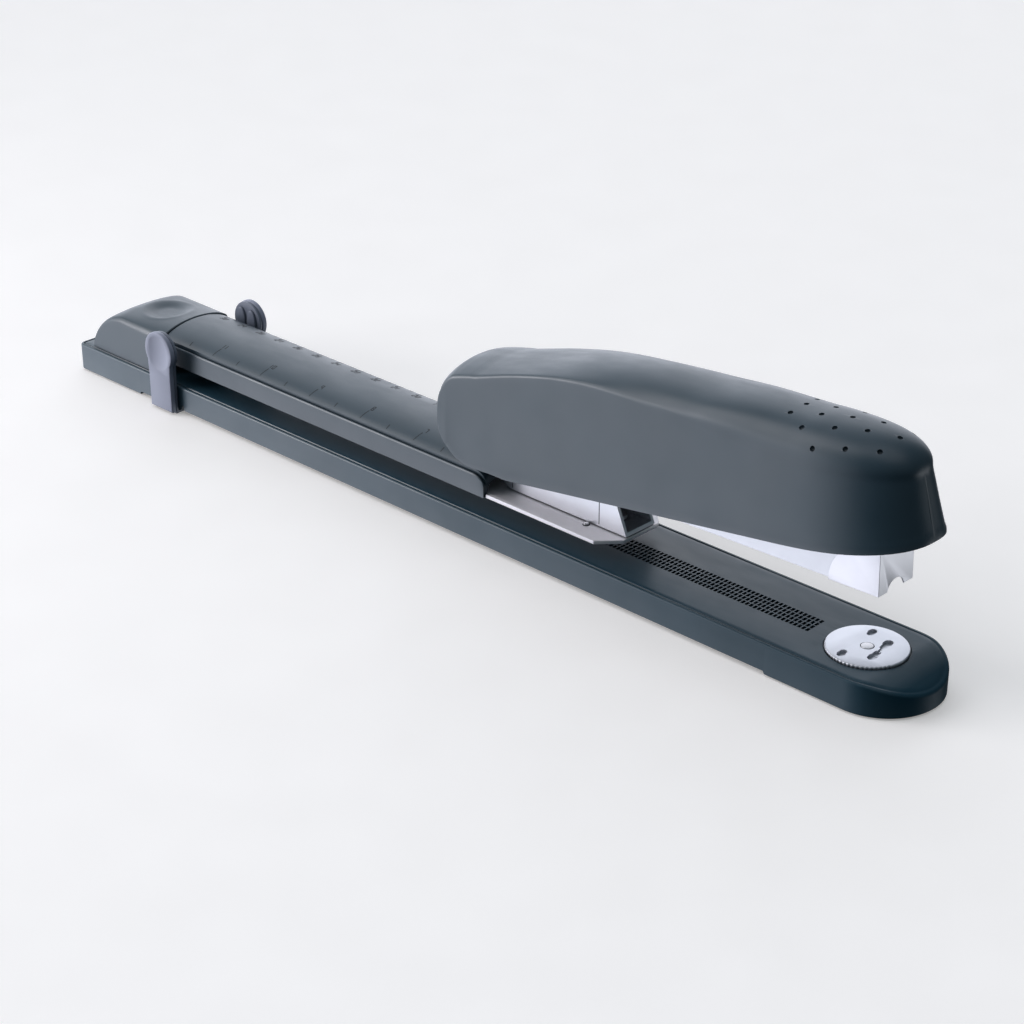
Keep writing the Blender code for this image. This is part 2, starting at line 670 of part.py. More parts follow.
def make_pin():
    """Headed hinge pin with a groove near its end, and the slotted ring that retains it."""
    px, pz = PIVOT
    shank = prism(circle(px, pz, PIN_RADIUS), PIN_HEAD[1] - 0.7, PIN_END, "y")
    pin = finish("pivot_pin", shank, "bright_steel", at_pivot())
    combine(pin, prism(circle(px, pz, PIN_HEAD_RADIUS), PIN_HEAD[0], PIN_HEAD[1], "y"), "UNION")
    low, high = PIN_GROOVE
    combine(pin, prism(circle(px, pz, PIN_RADIUS + 1), low, high, "y"))
    core = prism(circle(px, pz, PIN_GROOVE_RADIUS, 20), low - 0.7, high + 0.5, "y")
    combine(pin, core, "UNION")
    ring = prism(circle(px, pz, 2 * PIN_RADIUS), low + 0.15, high - 0.15, "y")
    clip = finish("pin_clip", ring, "spring_steel", at_pivot())
    combine(clip, prism(circle(px, pz, PIN_GROOVE_RADIUS + 0.15, 20), low - 5, high + 5, "y"))
    slot = PIN_GROOVE_RADIUS - 0.2
    combine(clip, block((px, low - 5, pz - slot), (px + 10, high + 5, pz + slot)))


def make_lift_spring():
    """Holds the magazine up off the anvil."""
    low = BRACKET_WEB + CHEEK_THICK + GAP
    high = rail_bottom_height(SPRING_X) - GAP
    spring = coil(4.2, 0.45, low, high, 5, 12, 6)
    moved(spring, Matrix.Translation((SPRING_X, 0, 0)))
    finish("lift_spring", spring, "spring_steel")


def rail_bottom_height(x):
    """World height of the rail's underside at rest."""
    angle = math.radians(MAGAZINE_TILT)
    return PIVOT[1] + (x - PIVOT[0]) * math.tan(angle) - (PIVOT[1] - RAIL_BOTTOM) / math.cos(angle)


# ---------------------------------------------------------------- magazine

def make_magazine_channel():
    """Folded steel trough for the staples; its rear ears reach up to the pin."""
    px, pz = PIVOT
    side = [(-3.5, MAG_BOTTOM), (-3.5, MAG_TOP), (-118, MAG_TOP), (-130, pz + 5)]
    side += arc(px, pz, EAR_RADIUS, 60, 180, 7)
    side += [(px - EAR_RADIUS, pz - 8), (-130, MAG_BOTTOM)]
    solid = tilted(prism(side, -CHANNEL_OUT, CHANNEL_OUT, "y"))
    channel = finish("magazine_channel", solid, "zinc_steel", at_pivot())
    inner = CHANNEL_OUT - SHEET
    combine(channel, tilted(block((-160, -inner, MAG_BOTTOM + SHEET), (10, inner, 70))))
    combine(channel, tilted(block((-160, -inner, 0), (MAG_FLOOR_REAR, inner, 70))))
    combine(channel, prism(circle(px, pz, PIN_RADIUS + GAP), -20, 20, "y"))


def make_magazine_cap():
    """Bright front cap: wraps the trough's sides and front, with an arched notch in its face."""
    low, high = MAG_BOTTOM - 0.3, MAG_TOP + 2.4
    side = [(MAG_FRONT, low), (MAG_FRONT, high), (CAP_REAR + 3, high)]
    side += arc(CAP_REAR + 11, low, 14.0, 125, 180, 6)
    solid = tilted(prism(side, -CAP_OUT, CAP_OUT, "y"))
    cap = finish("magazine_front_cap", solid, "bright_steel", at_pivot())
    inner = CHANNEL_OUT + 0.15
    combine(cap, tilted(block((-40, -inner, 0), (MAG_FRONT - CAP_THICK, inner, 70))))
    notch = arc(0, MAG_BOTTOM - 1.1, 4.0, 0, 180, 10)
    combine(cap, tilted(prism(notch, MAG_FRONT - 2, MAG_FRONT + 2, "x")))


def make_staple_rail():
    """Inner core the staples ride on; it runs back between the bracket's cheeks."""
    outer = rectangle(-RAIL_OUT, RAIL_BOTTOM, RAIL_OUT, RAIL_TOP)
    solid = tilted(prism(outer, RAIL_REAR, RAIL_FRONT, "x"))
    rail = finish("staple_rail", solid, "zinc_steel", at_pivot())
    inner = RAIL_OUT - RAIL_SHEET
    low, high = RAIL_BOTTOM - 1, RAIL_TOP - RAIL_SHEET
    combine(rail, tilted(block((SPRING_X + 8, -inner, low), (RAIL_FRONT + 1, inner, high))))


def make_follower():
    """Pushes the staples forward; it stands at the front of the empty magazine."""
    front = RAIL_FRONT - 0.6
    rear = front - FOLLOWER_LENGTH
    half = CHANNEL_OUT - SHEET - GAP
    solid = tilted(block((rear, -half, RAIL_BOTTOM), (front, half, FOLLOWER_TOP)))
    follower = finish("staple_follower", solid, "inner_plastic")
    inner = RAIL_OUT + GAP
    combine(follower, tilted(block((rear - 5, -inner, 0), (front + 5, inner, RAIL_TOP + GAP))))
    bore = circle(*ROD_CENTRE, ROD_RADIUS + GAP, 12)
    combine(follower, tilted(prism(bore, rear - 5, front + 5, "x")))


def make_follower_rod():
    """Guide rod above the rail, carried by a lug at its rear end."""
    shank = prism(circle(*ROD_CENTRE, ROD_RADIUS, 12), ROD_REAR, RAIL_FRONT - 0.8, "x")
    rod = finish("follower_rod", tilted(shank), "spring_steel", at_pivot())
    low, high = RAIL_TOP + GAP, RAIL_TOP + 4.6
    combine(rod, tilted(block((ROD_REAR - 2, -4, low), (ROD_REAR + 0.8, 4, high))), "UNION")


def make_follower_spring():
    """Coil round the rod between its lug and the follower."""
    front = RAIL_FRONT - 0.6 - FOLLOWER_LENGTH - 0.2
    rear = ROD_REAR + 1.0
    y, z = ROD_CENTRE
    spring = coil(1.35, 0.28, rear, front, 15, 8, 4)
    moved(spring, Matrix.Rotation(math.pi / 2, 4, "Y"))
    moved(spring, Matrix.Translation((0, y, z)))
    finish("follower_spring", tilted(spring), "spring_steel")


# ---------------------------------------------------------------- handle frame and blade

def frame_top(x):
    """Height of the handle frame's upper face before the tilt."""
    share = (x - PIVOT[0] + EAR_RADIUS) / (FRAME_FLAT - PIVOT[0] + EAR_RADIUS)
    return FRAME_TOP_REAR + (FRAME_TOP_FRONT - FRAME_TOP_REAR) * min(share, 1.0)


def make_handle_frame():
    """Inverted steel channel inside the handle, hung on the pin outside the magazine."""
    px, pz = PIVOT
    front, flat, top = MAG_FRONT - 0.5, FRAME_FLAT, FRAME_TOP_FRONT
    side = [(front, top), (flat, top), (px - 6, frame_top(px - 6))]
    side += arc(px, pz, EAR_RADIUS + 0.5, 180, 290, 6) + [(-110, 45), (flat, 56), (front, 57)]
    solid = tilted(prism(side, -FRAME_OUT, FRAME_OUT, "y"))
    frame = finish("handle_frame", solid, "zinc_steel", at_pivot())
    inner, under, rear = FRAME_OUT - FRAME_THICK, top - FRAME_THICK, px - 20
    roof = [(10, under), (flat, under), (rear, frame_top(rear) - FRAME_THICK), (rear, 20), (10, 20)]
    combine(frame, tilted(prism(roof, -inner, inner, "y")))
    combine(frame, prism(circle(px, pz, PIN_RADIUS + GAP), -20, 20, "y"))
    for sign in (-1, 1):
        wide = sign * (FRAME_OUT + 1)
        corner = [(front - 14, wide), (front + 2, wide), (front + 2, sign * (BLADE_HALF - 0.8))]
        combine(frame, prism(corner, 30, 80))


def make_driver_blade():
    """Driver: a thin blade that drops into the magazine's front slot, with a fixing tab."""
    top = FRAME_TOP_FRONT - FRAME_THICK - GAP
    back, face, tab = BLADE_X, BLADE_X + BLADE_THICK, -12.0
    outline = [(back, BLADE_TIP), (face, BLADE_TIP), (face, top), (tab, top)]
    outline += [(tab, top - 0.8), (back, top - 0.8)]
    solid = tilted(prism(outline, -BLADE_HALF, BLADE_HALF, "y"))
    finish("driver_blade", solid, "bright_steel", at_pivot())


def make_handle_spring():
    """Holds the handle up off the magazine."""
    high = frame_top(SPRING_X) - FRAME_THICK - GAP
    solid = coil(3.9, 0.5, RAIL_TOP + GAP, high, 6, 12, 6)
    moved(solid, Matrix.Translation((SPRING_X, 0, 0)))
    finish("handle_spring", tilted(solid), "spring_steel")


# ---------------------------------------------------------------- handle cover

def rim_height(x):
    """Height of the handle's lower rim ahead of its rear round."""
    line = RIM_ZERO + RIM_RISE * x
    if x < RIM_LIFT_START:
        return max(line, REAR_LOW[-1][1])
    share = (x - RIM_LIFT_START) / (RIM_NOSE_CENTRE + RIM_NOSE_LENGTH - RIM_LIFT_START)
    return line + RIM_LIFT * share ** 2


def wall_half(z):
    """Half width of the leaning side walls at height z, behind the nose."""
    return RIM_HALF - (RIM_HALF - EDGE_HALF) * min(max(z - 30.0, 0.0) / 36.0, 1.0)


def crown_fullness(x):
    """Exponent of the crown's arch at x: flat towards the rear, full over the thumb pad."""
    share = min(max((x - PAD_START) / (PAD_END - PAD_START), 0.0), 1.0)
    return FLAT_CROWN + (PAD_CROWN - FLAT_CROWN) * share * share * (3 - 2 * share)


def handle_stations():
    """One dictionary for each section along the handle: its rim, its top edge and its crown."""
    stations = []
    for low, high, bulge, crown in zip(REAR_LOW, REAR_HIGH, REAR_BULGE, REAR_CROWN):
        stations.append({
            "rim": (low[0], wall_half(low[1]), low[1]),
            "edge": (high[0], wall_half(high[1]), high[1]),
            "bulge": bulge, "crown": crown, "fullness": FLAT_CROWN,
        })
    for k in range(1, BODY_STEPS + 1):
        share = k / BODY_STEPS
        x = REAR_LOW[-1][0] + (RIM_NOSE_CENTRE - REAR_LOW[-1][0]) * share
        edge_x = REAR_HIGH[-1][0] + (EDGE_NOSE_CENTRE - REAR_HIGH[-1][0]) * share
        edge_z = smooth_through(EDGE_LINE, edge_x)
        stations.append({
            "rim": (x, RIM_HALF, rim_height(x)),
            "edge": (edge_x, wall_half(edge_z), edge_z),
            "bulge": 0.0, "crown": smooth_through(CREST_LINE, edge_x),
            "fullness": crown_fullness(edge_x),
        })
    for k in range(1, NOSE_STEPS + 1):
        turn = math.radians(min(90 * k / NOSE_STEPS, 88.5))
        along, across = math.sin(turn) ** NOSE_POWER, math.cos(turn) ** NOSE_POWER
        x = RIM_NOSE_CENTRE + RIM_NOSE_LENGTH * along
        edge_x = EDGE_NOSE_CENTRE + EDGE_NOSE_LENGTH * along
        stations.append({
            "rim": (x, RIM_HALF * across, rim_height(x)),
            "edge": (edge_x, EDGE_HALF * across, smooth_through(EDGE_LINE, edge_x)),
            "bulge": 0.0, "crown": CREST_LINE[-1][1] * math.cos(turn) ** 0.9 + 0.1,
            "fullness": PAD_CROWN,
        })
    return stations


def shrunk(point, inset):
    """A rim or edge point moved inwards by the wall's thickness, towards the handle's middle."""
    x, half, z = point
    middle = -75.0
    reach = 88.0
    return (middle + (x - middle) * (1 - inset / reach), half * (1 - inset / EDGE_HALF), z)


def handle_solid(inset=0.0, drop=0.0):
    """The handle's outer form, or its hollow, as a loft of arched sections."""
    rings = []
    for station in handle_stations():
        rim_x, rim_half, rim_z = shrunk(station["rim"], inset)
        edge_x, edge_half, edge_z = shrunk(station["edge"], inset)
        ring = [(rim_x, -rim_half, rim_z - drop)]
        for i in range(ARCH_STEPS + 1):
            angle = math.pi * (1 - i / ARCH_STEPS)
            rise = math.sin(angle) ** (2 * station["fullness"])
            x = edge_x - station["bulge"] * math.sin(angle)
            z = edge_z + 0.02 - inset + station["crown"] * rise
            ring.append((x, edge_half * math.cos(angle), z))
        ring.append((rim_x, rim_half, rim_z - drop))
        rings.append(ring)
    return loft(rings)


def make_handle_cover():
    """Hollow moulded handle, open below and at the rear where the arm passes."""
    cover = finish("handle_cover", handle_solid(), "black_plastic", at_pivot())
    combine(cover, handle_solid(HANDLE_WALL, 8.0))
    combine(cover, block((-170, -ARM_PASSAGE, 10), (-150, ARM_PASSAGE, PASSAGE_TOP)))


# ---------------------------------------------------------------- paper guide

def guide_stem(low_y, high_y, low_z):
    """A guide stem with a round head, between two y planes."""
    centre = GUIDE_TOP - GUIDE_HEAD_RADIUS
    neck = centre - GUIDE_HEAD_RADIUS - 2
    left, right = GUIDE_X - GUIDE_HALF_STEM, GUIDE_X + GUIDE_HALF_STEM
    outline = [(left, low_z), (right, low_z), (right, neck)]
    outline += arc(GUIDE_X, centre, GUIDE_HEAD_RADIUS, -30, 210, 16)
    outline.append((left, neck))
    return prism(outline, low_y, high_y, "y")


def make_paper_guide():
    """Dark inner U that slides along the base, and a light face plate on each of its stems."""
    left, right = GUIDE_X - GUIDE_HALF_STEM, GUIDE_X + GUIDE_HALF_STEM
    strap = block((left, -GUIDE_SPLIT, GUIDE_LOW), (right, GUIDE_SPLIT, UNDERCUT - GAP))
    carriage = finish("guide_carriage", strap, "inner_plastic")
    combine(carriage, guide_stem(-GUIDE_SPLIT, -GUIDE_INNER, GUIDE_LOW), "UNION")
    combine(carriage, guide_stem(GUIDE_INNER, GUIDE_SPLIT, GUIDE_LOW), "UNION")
    face = GUIDE_SPLIT + 0.1
    near = guide_stem(-GUIDE_OUTER, -face, GUIDE_FACE_LOW)
    far = guide_stem(face, GUIDE_OUTER, GUIDE_FACE_LOW)
    finish("guide_clip_near", near, "grey_plastic")
    finish("guide_clip_far", far, "grey_plastic")


def main():
    for existing in list(bpy.data.objects):
        bpy.data.objects.remove(existing, do_unlink=True)
    make_base_shell()
    make_base_stiffener()
    make_foot_pads()
    make_anvil()
    make_rear_housing()
    make_rear_block()
    make_rear_screw("rear_screw_near", -REAR_SCREW_Y)
    make_rear_screw("rear_screw_far", REAR_SCREW_Y)
    make_arm_plate()
    make_arm_stiffener()
    make_arm_cover()
    make_pivot_bracket()
    make_bracket_rivet("bracket_rivet_front", BRACKET_RIVETS[0])
    make_bracket_rivet("bracket_rivet_rear", BRACKET_RIVETS[1])
    make_pin()
    make_lift_spring()
    make_magazine_channel()
    make_magazine_cap()
    make_staple_rail()
    make_follower()
    make_follower_rod()
    make_follower_spring()
    make_handle_frame()
    make_driver_blade()
    make_handle_spring()
    make_handle_cover()
    make_paper_guide()


main()
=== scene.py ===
"""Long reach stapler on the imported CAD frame: smooth shells, ruler, dimples, springs, looks and studio."""

import json
import math

import bmesh
import bpy
import numpy as np
from mathutils import Matrix, Vector

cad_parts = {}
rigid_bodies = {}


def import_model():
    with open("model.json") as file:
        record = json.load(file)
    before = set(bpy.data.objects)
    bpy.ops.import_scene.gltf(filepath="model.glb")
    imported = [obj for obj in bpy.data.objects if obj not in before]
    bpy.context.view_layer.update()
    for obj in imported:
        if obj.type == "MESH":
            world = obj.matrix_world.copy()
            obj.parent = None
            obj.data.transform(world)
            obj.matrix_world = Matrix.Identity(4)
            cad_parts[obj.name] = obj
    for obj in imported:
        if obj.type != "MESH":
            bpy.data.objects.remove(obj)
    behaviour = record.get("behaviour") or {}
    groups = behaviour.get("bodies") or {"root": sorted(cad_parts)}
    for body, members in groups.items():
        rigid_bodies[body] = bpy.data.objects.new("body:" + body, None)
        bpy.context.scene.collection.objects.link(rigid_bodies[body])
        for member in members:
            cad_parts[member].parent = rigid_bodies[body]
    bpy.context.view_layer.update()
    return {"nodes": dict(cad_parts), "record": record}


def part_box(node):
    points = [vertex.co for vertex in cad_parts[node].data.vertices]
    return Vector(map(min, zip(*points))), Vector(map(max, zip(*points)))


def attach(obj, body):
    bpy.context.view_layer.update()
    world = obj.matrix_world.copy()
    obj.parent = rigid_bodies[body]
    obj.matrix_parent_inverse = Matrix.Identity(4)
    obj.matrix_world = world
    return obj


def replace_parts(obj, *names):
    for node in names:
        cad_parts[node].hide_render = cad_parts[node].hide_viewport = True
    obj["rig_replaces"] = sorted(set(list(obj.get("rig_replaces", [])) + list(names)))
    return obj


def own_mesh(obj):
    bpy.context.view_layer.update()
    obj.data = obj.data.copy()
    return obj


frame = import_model()

MM = 0.001
TILT = math.radians(1.85)          # the magazine's rest tilt about the pin
PIVOT = (-139.0, 46.0)             # the pin's x and z


def box(node):
    """Lowest and highest corner of a CAD node, in millimetres."""
    low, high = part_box(node)
    return Vector(low) / MM, Vector(high) / MM


# ---------------------------------------- materials

class Look:
    """A Principled material and short ways to add nodes to it."""

    def __init__(self, name):
        self.material = bpy.data.materials.new(name)
        self.material.use_nodes = True
        self.tree = self.material.node_tree
        self.shader = self.tree.nodes["Principled BSDF"]
        coords = self.tree.nodes.new("ShaderNodeTexCoord")
        self.place = coords.outputs["Object"]

    def link(self, out, socket):
        self.tree.links.new(out, socket)

    def noise(self, scale, detail=2.0, stretch=None):
        vector = self.place
        if stretch:
            mapping = self.tree.nodes.new("ShaderNodeMapping")
            mapping.inputs["Scale"].default_value = stretch
            self.link(vector, mapping.inputs["Vector"])
            vector = mapping.outputs["Vector"]
        made = self.tree.nodes.new("ShaderNodeTexNoise")
        made.inputs["Scale"].default_value = scale
        made.inputs["Detail"].default_value = detail
        self.link(vector, made.inputs["Vector"])
        return made.outputs["Fac"]

    def ramp(self, value, low, high, to_low, to_high):
        made = self.tree.nodes.new("ShaderNodeMapRange")
        made.inputs["From Min"].default_value = low
        made.inputs["From Max"].default_value = high
        made.inputs["To Min"].default_value = to_low
        made.inputs["To Max"].default_value = to_high
        self.link(value, made.inputs["Value"])
        return made.outputs["Result"]

    def mix(self, share, first, second, blend="MIX"):
        made = self.tree.nodes.new("ShaderNodeMix")
        made.data_type = "RGBA"
        made.blend_type = blend
        for key, value in (("Factor", share), ("A", first), ("B", second)):
            socket = made.inputs[key]
            if isinstance(value, bpy.types.NodeSocket):
                self.link(value, socket)
            else:
                socket.default_value = value if isinstance(value, float) else (*value, 1.0)
        return made.outputs["Result"]

    def math(self, operation, first, second):
        made = self.tree.nodes.new("ShaderNodeMath")
        made.operation = operation
        for socket, value in zip(made.inputs, (first, second)):
            if isinstance(value, bpy.types.NodeSocket):
                self.link(value, socket)
            else:
                socket.default_value = value
        return made.outputs["Value"]

    def edges(self, low=0.52, high=0.62):
        """0 on flat areas, 1 on convex edges."""
        geometry = self.tree.nodes.new("ShaderNodeNewGeometry")
        return self.ramp(geometry.outputs["Pointiness"], low, high, 0.0, 1.0)

    def crevice(self, distance):
        """1 in the open, falling towards 0 in corners and grooves."""
        made = self.tree.nodes.new("ShaderNodeAmbientOcclusion")
        made.samples = 6
        made.inputs["Distance"].default_value = distance
        return made.outputs["AO"]

    def bump(self, height, strength, distance):
        made = self.tree.nodes.new("ShaderNodeBump")
        made.inputs["Strength"].default_value = strength
        made.inputs["Distance"].default_value = distance
        self.link(height, made.inputs["Height"])
        self.link(made.outputs["Normal"], self.shader.inputs["Normal"])


def plastic(name, colour, worn, roughness, specular, grain=1.0, fades=()):
    """Satin moulded plastic: fine spark-eroded grain, faint mottling, handled edges, painted shade in corners
    and grooves.

    Each fade, as (start x, end x, level), dulls the sheen between two places along the part, in metres:
    painted shade, darkening the part there as if less light reached it.
    """
    look = Look(name)
    mottle = look.noise(35.0, 3.0)
    fine = look.noise(5200.0, 2.0)
    smudge = look.noise(90.0, 4.0, (1.0, 2.5, 1.0))
    dark = tuple(c * 0.9 for c in colour)
    base = look.mix(look.ramp(mottle, 0.35, 0.65, 0.0, 1.0), dark, colour)
    base = look.mix(look.ramp(look.edges(), 0.0, 1.0, 0.0, 0.35), base, worn)
    # painted shade: corners and grooves darken towards near-black through the occlusion mask
    base = look.mix(look.ramp(look.crevice(0.002), 0.2, 0.9, 0.55, 0.0), base, (0.004, 0.007, 0.01))
    look.link(base, look.shader.inputs["Base Color"])
    rough = look.ramp(smudge, 0.3, 0.7, roughness - 0.04, roughness + 0.05)
    rough = look.math("ADD", rough, look.ramp(fine, 0.3, 0.7, -0.03, 0.03))
    look.link(rough, look.shader.inputs["Roughness"])
    look.shader.inputs["Specular IOR Level"].default_value = specular
    # painted shade: the sheen falls off along x where less light should reach
    if fades:
        split = look.tree.nodes.new("ShaderNodeSeparateXYZ")
        look.link(look.place, split.inputs["Vector"])
        sheen = specular
        for start, end, level in fades:
            sheen = look.math("MINIMUM", sheen, look.ramp(split.outputs["X"], start, end, specular, level))
        look.link(sheen, look.shader.inputs["Specular IOR Level"])
    look.bump(fine, 0.10 * grain, 0.00006)
    return look.material


def metal(name, colour, roughness, streak, hollow_shade, metallic=0.75):
    """Plated sheet or wire: rolling streaks, fine scratches, painted shade in corners and hollows."""
    look = Look(name)
    cloud = look.noise(120.0, 4.0)
    rolled = look.noise(900.0, 3.0, streak)
    scratch = look.noise(2600.0, 1.0, (streak[1], streak[0], streak[2]))
    base = look.mix(look.ramp(cloud, 0.3, 0.7, 0.0, 1.0), tuple(c * 0.93 for c in colour), colour)
    # painted shade: corners and hollows darken towards the hollow_shade colour through the occlusion mask
    base = look.mix(look.ramp(look.crevice(0.0012), 0.15, 0.85, 0.7, 0.0), base, hollow_shade)
    base = look.mix(look.ramp(look.edges(), 0.0, 1.0, 0.0, 0.3), base, (0.95, 0.95, 0.97))
    look.link(base, look.shader.inputs["Base Color"])
    rough = look.ramp(rolled, 0.3, 0.7, roughness - 0.05, roughness + 0.07)
    rough = look.math("ADD", rough, look.ramp(scratch, 0.62, 0.75, 0.0, 0.08))
    look.link(rough, look.shader.inputs["Roughness"])
    look.shader.inputs["Metallic"].default_value = metallic
    look.bump(rolled, 0.06, 0.00004)
    return look.material


def ink(name, colour):
    """Slightly uneven print or sunk marking."""
    look = Look(name)
    worn = look.noise(900.0, 3.0)
    base = look.mix(look.ramp(worn, 0.3, 0.75, 0.0, 1.0), colour, tuple(c * 1.25 + 0.004 for c in colour))
    look.link(base, look.shader.inputs["Base Color"])
    look.link(look.ramp(worn, 0.3, 0.7, 0.5, 0.65), look.shader.inputs["Roughness"])
    look.bump(worn, 0.05, 0.00004)
    return look.material


STEEL_STREAK = (1.0, 18.0, 18.0)       # rolling lines drawn out along x
ZINC_STREAK = (1.0, 14.0, 14.0)
WIRE_STREAK = (6.0, 6.0, 6.0)
LOOKS = {
    "black_plastic": plastic("black_plastic", (0.020, 0.044, 0.062), (0.16, 0.17, 0.19), 0.38, 0.8),
    # base: painted shade, its sheen dulled towards the front and again at the nose
    "base_plastic": plastic("base_plastic", (0.012, 0.044, 0.066), (0.13, 0.17, 0.20), 0.38, 0.85, 1.0,
                            ((-0.24, 0.0, 0.30), (0.003, 0.015, 0.08))),
    # handle: painted shade, its sheen dulled at the nose
    "head_plastic": plastic("head_plastic", (0.020, 0.044, 0.062), (0.16, 0.17, 0.19), 0.38, 0.8, 1.0,
                            ((-0.03, 0.012, 0.4),)),
    "inner_plastic": plastic("inner_plastic", (0.012, 0.020, 0.028), (0.08, 0.09, 0.10), 0.50, 0.45),
    "grey_plastic": plastic("grey_plastic", (0.300, 0.315, 0.400), (0.45, 0.45, 0.52), 0.42, 0.5),
    "rubber": plastic("rubber", (0.013, 0.014, 0.016), (0.05, 0.05, 0.05), 0.80, 0.3, 3.0),
    # each metal's last colour is the painted shade laid into its corners and hollows
    "zinc_steel": metal("zinc_steel", (0.70, 0.705, 0.745), 0.36, ZINC_STREAK, (0.10, 0.10, 0.13)),
    "bright_steel": metal("bright_steel", (0.65, 0.635, 0.645), 0.30, STEEL_STREAK, (0.12, 0.10, 0.11)),
    # painted light: a lighter, more diffuse copy of bright steel, so the plate reads lit though the handle
    # shades it
    "plate_steel_lit": metal("plate_steel_lit", (0.93, 0.89, 0.91), 0.42, STEEL_STREAK, (0.12, 0.10, 0.11), 0.35),
    # painted light: a lighter, more diffuse copy of zinc steel, so the cap's front face reads lit
    "cap_steel_lit": metal("cap_steel_lit", (0.74, 0.73, 0.77), 0.36, ZINC_STREAK, (0.12, 0.11, 0.13), 0.7),
    "spring_steel": metal("spring_steel", (0.50, 0.50, 0.53), 0.30, WIRE_STREAK, (0.06, 0.06, 0.07)),
    "guide_inner": plastic("guide_inner", (0.170, 0.190, 0.245), (0.16, 0.17, 0.2), 0.45, 0.7),
    "mark": ink("mark", (0.007, 0.012, 0.017)),
}


# ---------------------------------------- mesh building

def arc(cx, cy, radius, start, end, steps):
    angles = np.radians(np.linspace(start, end, steps + 1))
    return [(cx + radius * math.cos(a), cy + radius * math.sin(a)) for a in angles]


def circle(cx, cy, radius, steps):
    return arc(cx, cy, radius, 0, 360, steps)[:-1]


def smooth(value, low, high):
    """0 below low, 1 above high, a smooth step between them."""
    share = min(max((value - low) / (high - low), 0.0), 1.0)
    return share * share * (3 - 2 * share)


def soften(solid, edges, width, steps=2):
    """Rounds the given edges of a bmesh, stopping where two roundings would meet."""
    bmesh.ops.bevel(
        solid, geom=edges, offset=width, segments=steps, profile=0.5, affect="EDGES", clamp_overlap=True,
    )


def prism(outline, low, high, axis="z", bevel=0.0, steps=2):
    """A bmesh prism. The outline is in (x, y) for axis z, (x, z) for y and (y, z) for x."""
    order = {"z": (0, 1, 2), "y": (0, 2, 1), "x": (2, 0, 1)}[axis]

    def place(*values):
        return [values[i] for i in order]

    solid = bmesh.new()
    ends = [[solid.verts.new(place(a, b, level)) for a, b in outline] for level in (low, high)]
    faces = [solid.faces.new(ring) for ring in ends]
    count = len(outline)
    for i in range(count):
        j = (i + 1) % count
        solid.faces.new((ends[0][i], ends[0][j], ends[1][j], ends[1][i]))
    bmesh.ops.recalc_face_normals(solid, faces=solid.faces)
    if bevel:
        rims = [e for face in faces for e in face.edges]
        soften(solid, rims, bevel, steps)
    return solid


def block(low, high, bevel=0.0):
    (x0, y0, z0), (x1, y1, z1) = low, high
    solid = prism([(x0, y0), (x1, y0), (x1, y1), (x0, y1)], z0, z1)
    if bevel:
        bmesh.ops.bevel(solid, geom=solid.edges[:], offset=bevel, segments=2, profile=0.5, affect="EDGES")
    return solid


def loft(rings, closed=True, caps=True):
    """A bmesh skin over rings of equal point count."""
    solid = bmesh.new()
    rows = [[solid.verts.new(point) for point in ring] for ring in rings]
    count = len(rows[0])
    for lower, upper in zip(rows, rows[1:]):
        for i in range(count if closed else count - 1):
            j = (i + 1) % count
            solid.faces.new((lower[i], lower[j], upper[j], upper[i]))
    if caps:
        solid.faces.new(rows[0])
        solid.faces.new(rows[-1])
    bmesh.ops.recalc_face_normals(solid, faces=solid.faces)
    return solid


def coil(radius, wire, low, high, turns, closed_turns=1.0, per_turn=36, sides=12):
    """A helical spring about z whose end turns lie closed."""
    rings = []
    total = int(turns * per_turn)
    free = high - low - 2 * wire
    end_pitch = 2.1 * wire
    middle = max(turns - 2 * closed_turns, 0.5)
    pitch = max((free - 2 * closed_turns * end_pitch) / middle, end_pitch * 0.9)
    rises = [0.0]
    for k in range(total):
        turn = (k + 0.5) / per_turn
        near_end = min(turn, turns - turn) < closed_turns
        rises.append(rises[-1] + (end_pitch if near_end else pitch) / per_turn)
    scale = free / rises[-1]
    for k in range(total + 1):
        angle = 2 * math.pi * k / per_turn
        out = Vector((math.cos(angle), math.sin(angle), 0.0))
        centre = out * radius + Vector((0, 0, low + wire + rises[k] * scale))
        around = [2 * math.pi * s / sides for s in range(sides)]
        rings.append([centre + (out * math.cos(a) + Vector((0, 0, math.sin(a)))) * wire for a in around])
    return loft(rings)


def moved(solid, matrix):
    bmesh.ops.transform(solid, matrix=matrix, verts=solid.verts)
    return solid


def tilted(solid):
    """From the magazine's own level to its rest tilt about the pin."""
    centre = Vector((PIVOT[0], 0.0, PIVOT[1]))
    turn = Matrix.Rotation(-TILT, 4, "Y")
    return moved(solid, Matrix.Translation(centre) @ turn @ Matrix.Translation(-centre))


def mesh_of(name, solid):
    mesh = bpy.data.meshes.new(name)
    solid.to_mesh(mesh)
    solid.free()
    return mesh


def in_scene(name, data):
    made = bpy.data.objects.new(name, data)
    bpy.context.scene.collection.objects.link(made)
    return made


def join(solid, extra):
    """Puts a second bmesh's faces beside the first one's."""
    part = mesh_of("part", extra)
    solid.from_mesh(part)
    bpy.data.meshes.remove(part)


def carve(solid, tool, operation="DIFFERENCE"):
    """The first bmesh with the second one cut from it, or added to it."""
    objects = [in_scene("work", mesh_of("work", each)) for each in (solid, tool)]
    change = objects[0].modifiers.new("cut", "BOOLEAN")
    change.operation, change.solver, change.object = operation, "EXACT", objects[1]
    graph = bpy.context.evaluated_depsgraph_get()
    result = bmesh.new()
    result.from_object(objects[0], graph)
    for each in objects:
        mesh = each.data
        bpy.data.objects.remove(each)
        bpy.data.meshes.remove(mesh)
    return result


